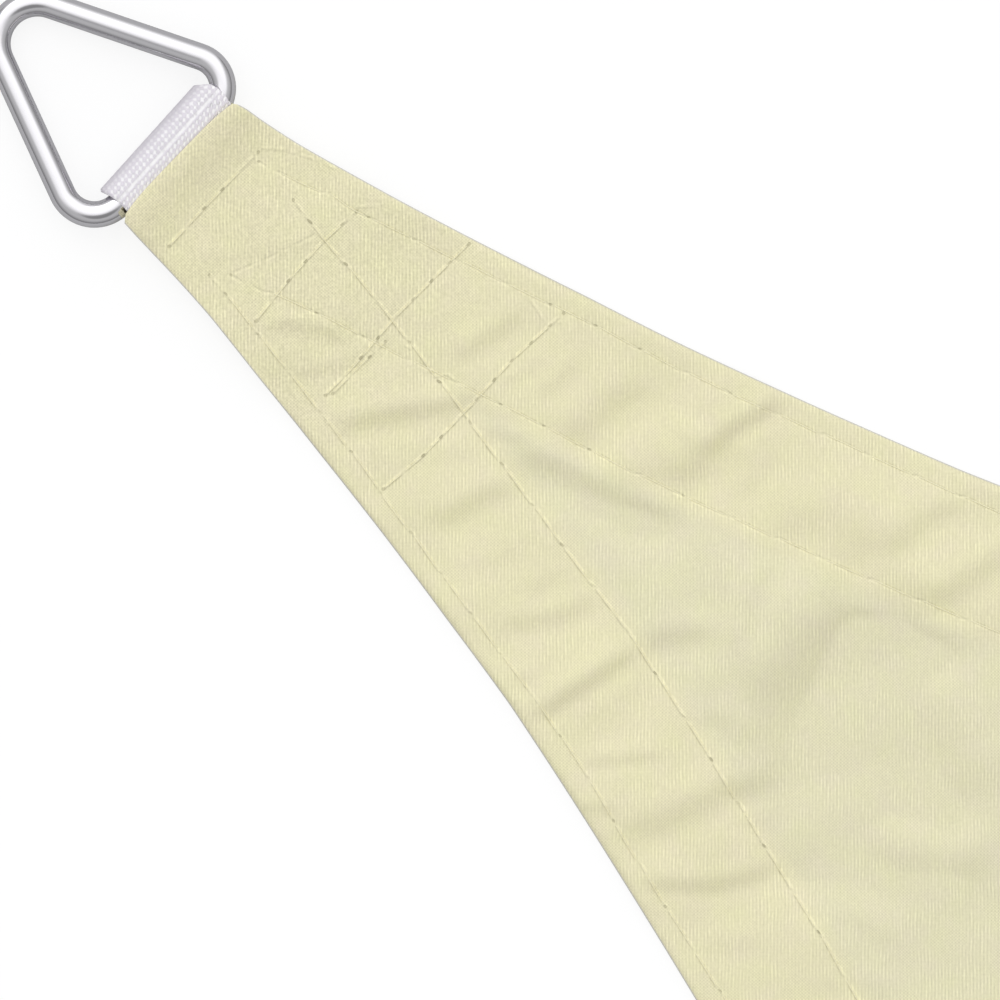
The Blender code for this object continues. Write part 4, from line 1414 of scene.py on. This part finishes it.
def sewn_line(name):
    """Groove, painted shade of needle holes, shadow and lit ridge from a stored distance, run and room
    left.
    """
    tree, given, leave = new_group(name, {
        "Seam": None, "Pitch": 0.005, "Groove half": 0.0004, "Hole radius": 0.0005,
        "Strength": 1.0}, ("Groove", "Hole", "Shadow", "Ridge"))
    aside, run, room = split(tree, given["Seam"])
    active = ramp(tree, room, -0.0002, 0.0003)
    uneven = add_node(tree, "ShaderNodeTexNoise", {
        "W": times(tree, run, 450.0), "Scale": 1.0, "Detail": 1.0}, noise_dimensions="1D")
    seen = times(
        tree, active, ramp(tree, uneven.outputs[0], 0.34, 0.60, 0.12, 1.0), given["Strength"])
    turn = calc(tree, "DIVIDE", run, given["Pitch"])
    nearest = calc(tree, "ROUND", turn)
    along = times(tree, calc(tree, "SUBTRACT", turn, nearest), given["Pitch"], 0.42)
    chance = add_node(tree, "ShaderNodeTexWhiteNoise", {"W": nearest}, noise_dimensions="1D")
    strength = times(
        tree, ramp(tree, chance.outputs[0], 0.15, 1.0, 0.05, 1.0), given["Strength"])
    # painted shade in a needle hole between two stitches, and in a knot at both ends of the seam
    hole, knot = (
        ramp(tree, calc(tree, "DIVIDE", calc(tree, "SQRT", plus(
            tree, times(tree, offset, offset), times(tree, aside, aside))), given["Hole radius"]), *fall)
        for offset, fall in ((along, (0.35, 1.0, 1.0, 0.0)), (room, (0.6, 1.4, 0.7, 0.0))))
    groove, shadow, ridge = (
        ramp(tree, calc(tree, "ABSOLUTE", calc(
            tree, "DIVIDE", plus(tree, aside, shift), given["Groove half"])), 0.0, reach, 1.0, 0.0)
        for shift, reach in ((0.0, 1.0), (0.00020, 1.0), (-0.00035, 1.2)))
    set_inputs(tree, leave, {
        "Groove": times(tree, groove, active),
        "Shadow": times(tree, shadow, seen),
        "Ridge": times(tree, ridge, seen),
        "Hole": calc(tree, "MAXIMUM", times(tree, hole, active, strength), knot)})
    return tree


def soft_mottle(name):
    """Slow uneven tone around 1, for cloth that isn't dyed or lit quite evenly."""
    tree, given, leave = new_group(name, {"Place": None, "Size": 0.03, "Amount": 0.03}, ("Tone",))
    uneven = noise(tree, given["Place"], calc(tree, "DIVIDE", 1.0, given["Size"]), 3.0, 0.55)
    shift = times(tree, calc(tree, "SUBTRACT", uneven, 0.5), times(tree, given["Amount"], 2.0))
    set_inputs(tree, leave, {"Tone": plus(tree, shift, 1.0)})
    return tree


def bare_material(name):
    """A material with its shader, and the place of a point in the row frame."""
    made = bpy.data.materials.new(name)
    made.use_nodes = True
    tree = made.node_tree
    shader = tree.nodes["Principled BSDF"]
    place = tree.nodes.new("ShaderNodeTexCoord").outputs["Object"]
    return made, tree, shader, place


# ---------------------------------------------------------------- settings
class SailClothSettings(bpy.types.PropertyGroup):
    field_colour: FloatVectorProperty(
        name="Field colour", description="Single cloth in the middle of the sail", subtype="COLOR",
        size=3, min=0.0, max=1.0, default=(0.770, 0.735, 0.508))
    hem_colour: FloatVectorProperty(
        name="Hem colour", description="Doubled cloth of the hems and corners", subtype="COLOR",
        size=3, min=0.0, max=1.0, default=(0.800, 0.757, 0.508))
    # Painted shade: the grey band where the rolled edge turns down, away from the light.
    edge_shade_colour: FloatVectorProperty(
        name="Edge colour", description="Worn, greyer fold along the cloth's edge", subtype="COLOR",
        size=3, min=0.0, max=1.0, default=(0.60, 0.59, 0.60))
    rib_pitch: FloatProperty(
        name="Rib pitch", description="Distance between two ribs of the weave",
        default=0.7 * MM, min=0.2 * MM, max=3.0 * MM, unit="LENGTH", precision=5)
    rib_direction: FloatProperty(
        name="Rib direction", description="Direction across the ribs, from +X",
        default=math.radians(70.0), subtype="ANGLE")
    # Partly the yarn's own pattern, partly painted light on the rib crowns and painted shade in their
    # valleys.
    rib_contrast: FloatProperty(
        name="Rib contrast", description="How much lighter a rib's crown is than its valley",
        default=0.05, min=0.0, max=0.5, subtype="FACTOR")
    sheen: FloatProperty(
        name="Sheen", description="Soft shine of the polyester yarn",
        default=0.12, min=0.0, max=1.0, subtype="FACTOR")


class SailStitchSettings(bpy.types.PropertyGroup):
    thread_colour: FloatVectorProperty(
        name="Thread colour", description="Sewing thread", subtype="COLOR",
        size=3, min=0.0, max=1.0, default=(0.84, 0.80, 0.56))
    thread_radius: FloatProperty(
        name="Thread radius", description="Half the thickness of the sewing thread",
        default=0.13 * MM, min=0.05 * MM, max=0.6 * MM, unit="LENGTH", precision=5)
    thread_lift: FloatProperty(
        name="Thread lift", description="How far the thread's middle stands above its groove",
        default=0.0, min=-0.2 * MM, max=0.5 * MM, unit="LENGTH", precision=5)


class SailWebbingSettings(bpy.types.PropertyGroup):
    crown_colour: FloatVectorProperty(
        name="Crown colour", description="White floats of the webbing", subtype="COLOR",
        size=3, min=0.0, max=1.0, default=(0.98, 0.97, 0.99))
    valley_colour: FloatVectorProperty(
        name="Valley colour", description="Shade between the floats", subtype="COLOR",
        size=3, min=0.0, max=1.0, default=(0.76, 0.725, 0.79))
    dot_pitch: FloatProperty(
        name="Float pitch", description="Distance between two floats across the webbing",
        default=1.08 * MM, min=0.4 * MM, max=4.0 * MM, unit="LENGTH", precision=5)


class SailSteelSettings(bpy.types.PropertyGroup):
    colour: FloatVectorProperty(
        name="Steel colour", description="Polished stainless wire", subtype="COLOR",
        size=3, min=0.0, max=1.0, default=(0.80, 0.79, 0.82))
    roughness: FloatProperty(
        name="Polish", description="Roughness of the wire", default=0.09, min=0.0, max=1.0,
        subtype="FACTOR")


class SailStageSettings(bpy.types.PropertyGroup):
    view_width: FloatProperty(
        name="View width", description="Width of the floor that the picture shows",
        default=0.2, min=0.05, max=3.0, unit="LENGTH")
    view_along: FloatProperty(
        name="View right of the cloth end", description="Picture centre, along the picture's right",
        default=64.0 * MM, unit="LENGTH")
    view_down: FloatProperty(
        name="View below the cloth end", description="Picture centre, along the picture's down",
        default=68.0 * MM, unit="LENGTH")
    camera_height: FloatProperty(
        name="Camera height", description="Height of the camera above the sail",
        default=2.2, min=0.5, max=10.0, unit="LENGTH")
    key_strength: FloatProperty(
        name="Key light", description="Strength of the soft key light", default=0.35, min=0.0)
    key_elevation: FloatProperty(
        name="Key elevation", description="Height of the key light above the horizon",
        default=math.radians(40.0), subtype="ANGLE")
    key_azimuth: FloatProperty(
        name="Key direction", description="Where the key light stands, from +X",
        default=math.radians(181.0), subtype="ANGLE")
    key_size: FloatProperty(
        name="Key size", description="Apparent size of the key light",
        default=math.radians(50.0), subtype="ANGLE")
    panel_strength: FloatProperty(
        name="Panel light", description="Strength of the wide panel", default=1.27, min=0.0)
    panel_azimuth: FloatProperty(
        name="Panel direction", description="Where the panel stands, from +X",
        default=math.radians(162.0), subtype="ANGLE")
    wall_strength: FloatProperty(
        name="Wall light", description="Light from the grey walls", default=0.52, min=0.0)
    soft_panel: FloatProperty(
        name="Spread panel light", description="The panel's light as it reaches matt surfaces",
        default=1.10, min=0.0)
    soft_wall: FloatProperty(
        name="Spread wall light", description="The walls' light as it reaches matt surfaces",
        default=0.72, min=0.0)


# ---------------------------------------------------------------- materials
# The weave is rougher in a corner; that ends between these distances from the cloth end.
CORNER_WEAVE = (40.0 * MM, 80.0 * MM)
SEAM_LINE_HALF = 0.38 * MM     # half the width of a seam's painted shadow line
# Painted shade inside the needle holes and at the seams' ends.
HOLE_SHADE_COLOUR = (0.33, 0.30, 0.17)
WHITE = (1.0, 1.0, 1.0, 1.0)


def cloth_material(settings):
    """Cream ribbed polyester with hems, seams, painted shade in its needle holes, seam lines and rolled
    edge, and painted highlights beside the seams.
    """
    made, tree, shader, place = bare_material("woven_polyester")
    along = add_node(tree, "ShaderNodeVectorRotate", {
        "Vector": place, "Angle": -settings.rib_direction}, rotation_type="Z_AXIS").outputs[0]
    weave = place_group(tree, "Plain weave", plain_weave, {
        "Place": along, "Rib pitch": settings.rib_pitch, "Pick pitch": 0.9 * settings.rib_pitch})
    lines = [
        place_group(tree, "Sewn line", sewn_line, {
            "Seam": stored_vector(tree, name), "Pitch": pitch, "Groove half": SEAM_LINE_HALF,
            "Hole radius": hole_radius * MM, "Strength": strength})
        for name, pitch, hole_radius, strength in SEAM_LOOKS]
    groove, hole, shadow, ridge = (
        calc(tree, "MINIMUM", plus(tree, *[line[output] for line in lines]), 1.0)
        for output in ("Groove", "Hole", "Shadow", "Ridge"))

    depth, from_end, _none = split(tree, stored_vector(tree, "edge_place"))
    in_hem = ramp(tree, depth, HEM_FOLD - 1.5 * MM, HEM_FOLD + 3.0 * MM, 1.0, 0.0)
    edge_shade_mask = ramp(tree, depth, 0.05 * MM, 0.40 * MM, 1.0, 0.0)
    colour = blend_colour(tree, in_hem, tuple(settings.field_colour), tuple(settings.hem_colour))
    hue = mottle(tree, place, 0.006, 0.030)
    shade = add_node(tree, "ShaderNodeCombineColor", {
        "Red": 1.0, "Green": hue, "Blue": calc(tree, "MULTIPLY_ADD", hue, -2.0, 3.0)}).outputs[0]
    colour = blend_colour(tree, 1.0, colour, shade, "MULTIPLY")

    # the weave's tone: its pattern with painted light on the rib crowns and painted shade in the valleys
    woven = plus(tree, *[
        times(tree, weave[output], share * settings.rib_contrast)
        for output, share in (("Rib", 2.2), ("Float", 1.1), ("Cross", 1.8))])
    fine = calc(tree, "SUBTRACT", mottle(tree, place, 0.0006, 0.10), 1.0)
    # the tone also holds the seams' painted shadow lines and the painted highlight beside them
    tone = times(
        tree,
        calc(tree, "MULTIPLY_ADD", woven, ramp(tree, from_end, *CORNER_WEAVE, 1.12, 1.0), 1.0),
        mottle(tree, place, 0.035, 0.030),
        calc(tree, "MULTIPLY_ADD", fine, ramp(tree, from_end, *CORNER_WEAVE, 2.4, 1.0), 1.0),
        ramp(tree, shadow, 0.0, 1.0, 1.0, 0.86),
        ramp(tree, ridge, 0.0, 1.0, 1.0, 1.12))
    colour = tint(tree, colour, tone)
    # painted grey shade along the rolled edge
    colour = blend_colour(tree, times(tree, edge_shade_mask, 0.75), colour, tuple(settings.edge_shade_colour))
    # painted shade in the needle holes
    colour = blend_colour(tree, times(tree, hole, 0.55), colour, HOLE_SHADE_COLOUR)
    height = plus(
        tree, times(tree, weave["Height"], 0.035 * MM), times(tree, groove, -0.01 * MM),
        times(tree, hole, -0.15 * MM))
    set_inputs(tree, shader, {
        "Base Color": colour, "Normal": bump(tree, height), "Roughness": 0.82,
        "Specular IOR Level": 0.25, "Sheen Weight": settings.sheen, "Sheen Roughness": 0.45})
    return made


def thread_material(settings):
    made, tree, shader, place = bare_material("sewing_thread")
    tone = mottle(tree, place, 0.0012, 0.06)
    twist = noise(tree, place, 2600.0)
    set_inputs(tree, shader, {
        "Base Color": tint(tree, tuple(settings.thread_colour), tone),
        "Normal": bump(tree, times(tree, twist, 0.03 * MM)),
        "Roughness": 0.6, "Sheen Weight": 0.15})
    return made


def webbing_material(settings):
    """White woven webbing: rows of bright floats on a lilac grey ground, a painted highlight along the
    loop's crest and painted shade on its front.
    """
    made, tree, shader, place = bare_material("white_webbing")
    stored = stored_vector(tree, "strap_place")
    run, across, _layer = split(tree, stored)
    rows = calc(tree, "DIVIDE", calc(tree, "SUBTRACT", run, FLOAT_ROW_START), FLOAT_ROW_STEP)
    columns = plus(
        tree, calc(tree, "DIVIDE", across, settings.dot_pitch), times(tree, rows, FLOAT_STAGGER))
    uneven = mottle(tree, place, 0.0012, 1.0)
    waves = plus(
        tree, wave(tree, rows), wave(tree, columns), calc(tree, "MULTIPLY_ADD", uneven, 1.8, -1.8))
    # the loop's front gets painted shade and no floats
    past_shaded_front = ramp(tree, calc(tree, "ABSOLUTE", run), 0.8 * MM, 5.0 * MM)
    floats = times(tree, ramp(tree, waves, -0.8, 1.4), past_shaded_front)
    # painted highlight along the loop's crest, also raised a little in the bump
    beside = calc(tree, "ABSOLUTE", calc(tree, "SUBTRACT", run, CREST_HIGHLIGHT_ROW))
    rib = times(
        tree, ramp(tree, beside, 0.10 * MM, 0.60 * MM, 1.0, 0.0),
        ramp(tree, uneven, 0.75, 1.05, 0.45, 1.0))
    crown = calc(tree, "MAXIMUM", floats, rib)
    # painted shade on the loop's front, which faces away from the light
    tone = times(tree, mottle(tree, place, 0.003, 0.05), ramp(tree, past_shaded_front, 0.0, 1.0, 0.84, 1.0))
    colour = blend_colour(tree, crown, tuple(settings.valley_colour), tuple(settings.crown_colour))
    weave = place_group(tree, "Plain weave", plain_weave, {
        "Place": stored, "Rib pitch": 0.32 * MM, "Pick pitch": 0.28 * MM})
    height = plus(tree, times(tree, crown, 0.16 * MM), times(tree, weave["Height"], 0.02 * MM))
    set_inputs(tree, shader, {
        "Base Color": tint(tree, colour, tone), "Normal": bump(tree, height),
        "Roughness": 0.62, "Sheen Weight": 0.2})
    return made


def steel_material(settings):
    """Polished wire with faint drawing marks and finger haze."""
    made, tree, shader, place = bare_material("polished_steel")
    tone = mottle(tree, place, 0.006, 0.02)
    haze = mottle(tree, place, 0.004, 0.25)
    marks = noise(tree, place, 900.0, 2.0)
    set_inputs(tree, shader, {
        "Base Color": tint(tree, tuple(settings.colour), tone),
        "Roughness": times(tree, haze, settings.roughness),
        "Normal": bump(tree, times(tree, marks, 0.004 * MM)), "Metallic": 1.0})
    return made


def floor_material():
    """Pale table: mid grey to the light, lifted to white where it is seen directly."""
    made, tree, shader, _place = bare_material("pale_table")
    seen = tree.nodes.new("ShaderNodeLightPath").outputs["Is Camera Ray"]
    set_inputs(tree, shader, {
        "Base Color": blend_colour(tree, seen, (0.50, 0.50, 0.505), (0.17, 0.17, 0.172)),
        "Roughness": 0.9, "Specular IOR Level": 0.0, "Emission Color": WHITE,
        "Emission Strength": times(tree, seen, 0.84)})
    return made


# ---------------------------------------------------------------- operators
class SHADESAIL_OT_cloth(bpy.types.Operator):
    """Lays the hemmed cloth on the surface, with its folds, wrinkles and seam grooves"""
    bl_idname = "shade_sail.cloth"
    bl_label = "Lay the cloth"

    def execute(self, context):
        parts, fields, fine_count = cloth_mesh()
        verts = np.vstack(parts.verts)
        cloth = sail_object(
            "sail_sheet", verts, parts.faces, cloth_material(context.scene.sail_cloth), 50.0)
        for name, values in fields.items():
            rest = np.tile(NO_SEAM, (len(verts) - fine_count, 1))
            if name == "edge_place":
                plan = verts[fine_count:, :2]
                rest[:, 0] = np.maximum(side_measures(plan)[0].min(1), EDGE_SHADE_FREE_DEPTH)
                rest[:, 1] = np.min([to_corner(plan, corner)[:, 0] for corner in CORNERS], axis=0)
            add_point_vectors(cloth, name, np.vstack([values, rest]))
        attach(cloth, "root")
        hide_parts("sail_cloth")
        return {"FINISHED"}


class SHADESAIL_OT_stitches(bpy.types.Operator):
    """Sews the hems and the seams across the corners, stitch by stitch"""
    bl_idname = "shade_sail.stitches"
    bl_label = "Sew the seams"

    def execute(self, context):
        settings = context.scene.sail_stitch
        material = thread_material(settings)
        shares = np.array(STITCH_SHARES)
        dips = np.array(STITCH_HEIGHTS) * MM + settings.thread_lift
        cloth = bpy.data.objects["sail_sheet"]
        for name, lines in (("hem_stitches", hem_stitch_lines(shares)),
                            ("corner_stitches", cross_stitch_lines(shares))):
            verts, faces = thread_mesh(cloth, lines, dips, settings.thread_radius)
            stitches = sail_object(name, verts, faces, material, None)
            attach(stitches, "root")
        return {"FINISHED"}


class SHADESAIL_OT_webbing(bpy.types.Operator):
    """Folds a webbing strap round the bar of each ring"""
    bl_idname = "shade_sail.webbing"
    bl_label = "Fold the webbing"

    def execute(self, context):
        settings = context.scene.sail_webbing
        material = webbing_material(settings)
        for corner in CORNERS:
            verts, faces, places = strap_mesh(corner, settings.dot_pitch)
            strap = sail_object("woven_strap_" + corner.name, verts, faces, material, None)
            add_point_vectors(strap, "strap_place", places)
            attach(strap, "root")
            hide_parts("webbing_loop_" + corner.name)
        return {"FINISHED"}


class SHADESAIL_OT_rings(bpy.types.Operator):
    """Bends the three wire rings"""
    bl_idname = "shade_sail.rings"
    bl_label = "Bend the rings"

    def execute(self, context):
        material = steel_material(context.scene.sail_steel)
        for corner in CORNERS:
            verts, faces = ring_mesh(corner)
            ring = sail_object("wire_ring_" + corner.name, verts, faces, material, None)
            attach(ring, "root")
            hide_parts("corner_ring_" + corner.name)
        return {"FINISHED"}


class SHADESAIL_OT_declare(bpy.types.Operator):
    """Works out the area of the cut cloth and lists what is sewn to it, but keeps neither"""
    bl_idname = "shade_sail.declare"
    bl_label = "Declare the cloth"

    def execute(self, context):
        names = ["hem_stitches", "corner_stitches"]
        names += ["woven_strap_" + corner.name for corner in CORNERS]
        names += ["wire_ring_" + corner.name for corner in CORNERS]
        flat_area()
        return {"FINISHED"}


def flat_area():
    """Area of the cut cloth inside its outline."""
    outline, _mouths = outline_points()
    x, y = outline.T
    return 0.5 * float(np.sum(x * np.roll(y, -1) - np.roll(x, -1) * y))


class SHADESAIL_OT_stage(bpy.types.Operator):
    """Sets the pale table, the soft light and the camera above the photographed corner"""
    bl_idname = "shade_sail.stage"
    bl_label = "Set the stage"

    def execute(self, context):
        settings = context.scene.sail_stage
        make_floor()
        make_key_light(settings)
        make_sky(settings)
        make_camera(settings)
        context.scene.view_settings.view_transform = "Standard"
        return {"FINISHED"}


FLOOR_HALF = 40.0
FLOOR_DROP = 0.1 * MM          # below the sail, so that the two don't share a plane


def make_floor():
    half = FLOOR_HALF
    corners = [(-half, -half, 0.0), (half, -half, 0.0), (half, half, 0.0), (-half, half, 0.0)]
    data = bpy.data.meshes.new("table")
    data.from_pydata(corners, [], [(0, 1, 2, 3)])
    data.materials.append(floor_material())
    table = new_object("table", data)
    table.location.z = -FLOOR_DROP


def make_key_light(settings):
    data = bpy.data.lights.new("key_light", "SUN")
    data.energy = settings.key_strength
    data.angle = settings.key_size
    key = new_object("key_light", data)
    flat = math.cos(settings.key_elevation)
    towards = Vector((flat * math.cos(settings.key_azimuth), flat * math.sin(settings.key_azimuth),
                      math.sin(settings.key_elevation)))
    key.location = towards * 3.0
    key.rotation_euler = towards.to_track_quat("Z", "Y").to_euler()


def make_sky(settings):
    """A wide light panel fills one half of the room, grey walls the other."""
    world = bpy.data.worlds.new("studio")
    bpy.context.scene.world = world
    world.use_nodes = True
    tree = world.node_tree
    tree.nodes.clear()
    direction = tree.nodes.new("ShaderNodeTexCoord").outputs["Generated"]
    towards = (math.cos(settings.panel_azimuth), math.sin(settings.panel_azimuth), 0.0)
    beside = (-towards[1], towards[0], 0.0)
    gap = (-0.45 * towards[0], -0.45 * towards[1], 0.89)
    side, across, opening = (
        add_node(tree, "ShaderNodeVectorMath", {0: direction, 1: axis},
                 operation="DOT_PRODUCT").outputs["Value"]
        for axis in (towards, beside, gap))
    spread = ramp(tree, side, -0.5, 0.5, settings.soft_wall, settings.soft_panel)
    width = ramp(tree, calc(tree, "ABSOLUTE", across), 0.42, 0.82, 1.0, 0.2)
    panel = times(tree, ramp(tree, side, -0.60, 0.40), width)
    panel = ramp(tree, panel, 0.0, 1.0, settings.wall_strength, settings.panel_strength)
    horizon = ramp(tree, split(tree, direction)[2], 0.05, 0.60, 0.45, 1.0)
    opening = ramp(tree, opening, 0.93, 0.985, 1.0, 0.50)
    path = tree.nodes.new("ShaderNodeLightPath").outputs
    strength = add_node(tree, "ShaderNodeMix", {
        0: path["Is Glossy Ray"], 2: spread, 3: times(tree, panel, horizon, opening)}).outputs[0]
    light, white = (
        add_node(tree, "ShaderNodeBackground", {"Color": WHITE, "Strength": value}).outputs[0]
        for value in (strength, 1.0))
    mixed = add_node(tree, "ShaderNodeMixShader", {0: path["Is Camera Ray"], 1: light, 2: white})
    add_node(tree, "ShaderNodeOutputWorld", {"Surface": mixed.outputs[0]})


def make_camera(settings):
    """Looks straight down, turned so that the cloth runs to the picture's lower right."""
    # the picture's right-hand direction is the one across the ribs
    right = bpy.context.scene.sail_cloth.rib_direction
    up = right + 0.5 * math.pi
    end = to_plan([(0.0, 0.0)], CORNERS[0])[0] + SHIFT
    x = end[0] + math.cos(right) * settings.view_along - math.cos(up) * settings.view_down
    y = end[1] + math.sin(right) * settings.view_along - math.sin(up) * settings.view_down
    data = bpy.data.cameras.new("camera")
    data.lens = data.sensor_width * settings.camera_height / settings.view_width
    data.clip_end = 200.0
    camera = new_object("camera", data)
    camera.location = (x, y, settings.camera_height)
    camera.rotation_euler = (0.0, 0.0, right)
    bpy.context.scene.camera = camera


class VIEW3D_PT_shade_sail(bpy.types.Panel):
    bl_label = "Shade sail"
    bl_space_type = "VIEW_3D"
    bl_region_type = "UI"
    bl_category = "Shade sail"

    def draw(self, context):
        for name, _group in SETTINGS:
            settings = getattr(context.scene, name)
            box = self.layout.box()
            for key in settings.__annotations__:
                box.prop(settings, key)
        for operator in OPERATORS:
            self.layout.operator(operator.bl_idname)


SETTINGS = (
    ("sail_cloth", SailClothSettings),
    ("sail_stitch", SailStitchSettings),
    ("sail_webbing", SailWebbingSettings),
    ("sail_steel", SailSteelSettings),
    ("sail_stage", SailStageSettings),
)
OPERATORS = (
    SHADESAIL_OT_cloth,
    SHADESAIL_OT_stitches,
    SHADESAIL_OT_webbing,
    SHADESAIL_OT_rings,
    SHADESAIL_OT_declare,
    SHADESAIL_OT_stage,
)


def register():
    for name, group in SETTINGS:
        bpy.utils.register_class(group)
        setattr(bpy.types.Scene, name, PointerProperty(type=group))
    for cls in OPERATORS + (VIEW3D_PT_shade_sail,):
        bpy.utils.register_class(cls)


def unregister():
    for cls in reversed(OPERATORS + (VIEW3D_PT_shade_sail,)):
        bpy.utils.unregister_class(cls)
    for name, group in reversed(SETTINGS):
        delattr(bpy.types.Scene, name)
        bpy.utils.unregister_class(group)


def main():
    register()
    bpy.ops.shade_sail.cloth()
    bpy.ops.shade_sail.stitches()
    bpy.ops.shade_sail.webbing()
    bpy.ops.shade_sail.rings()
    bpy.ops.shade_sail.declare()
    bpy.ops.shade_sail.stage()


if __name__ == "__main__":
    main()
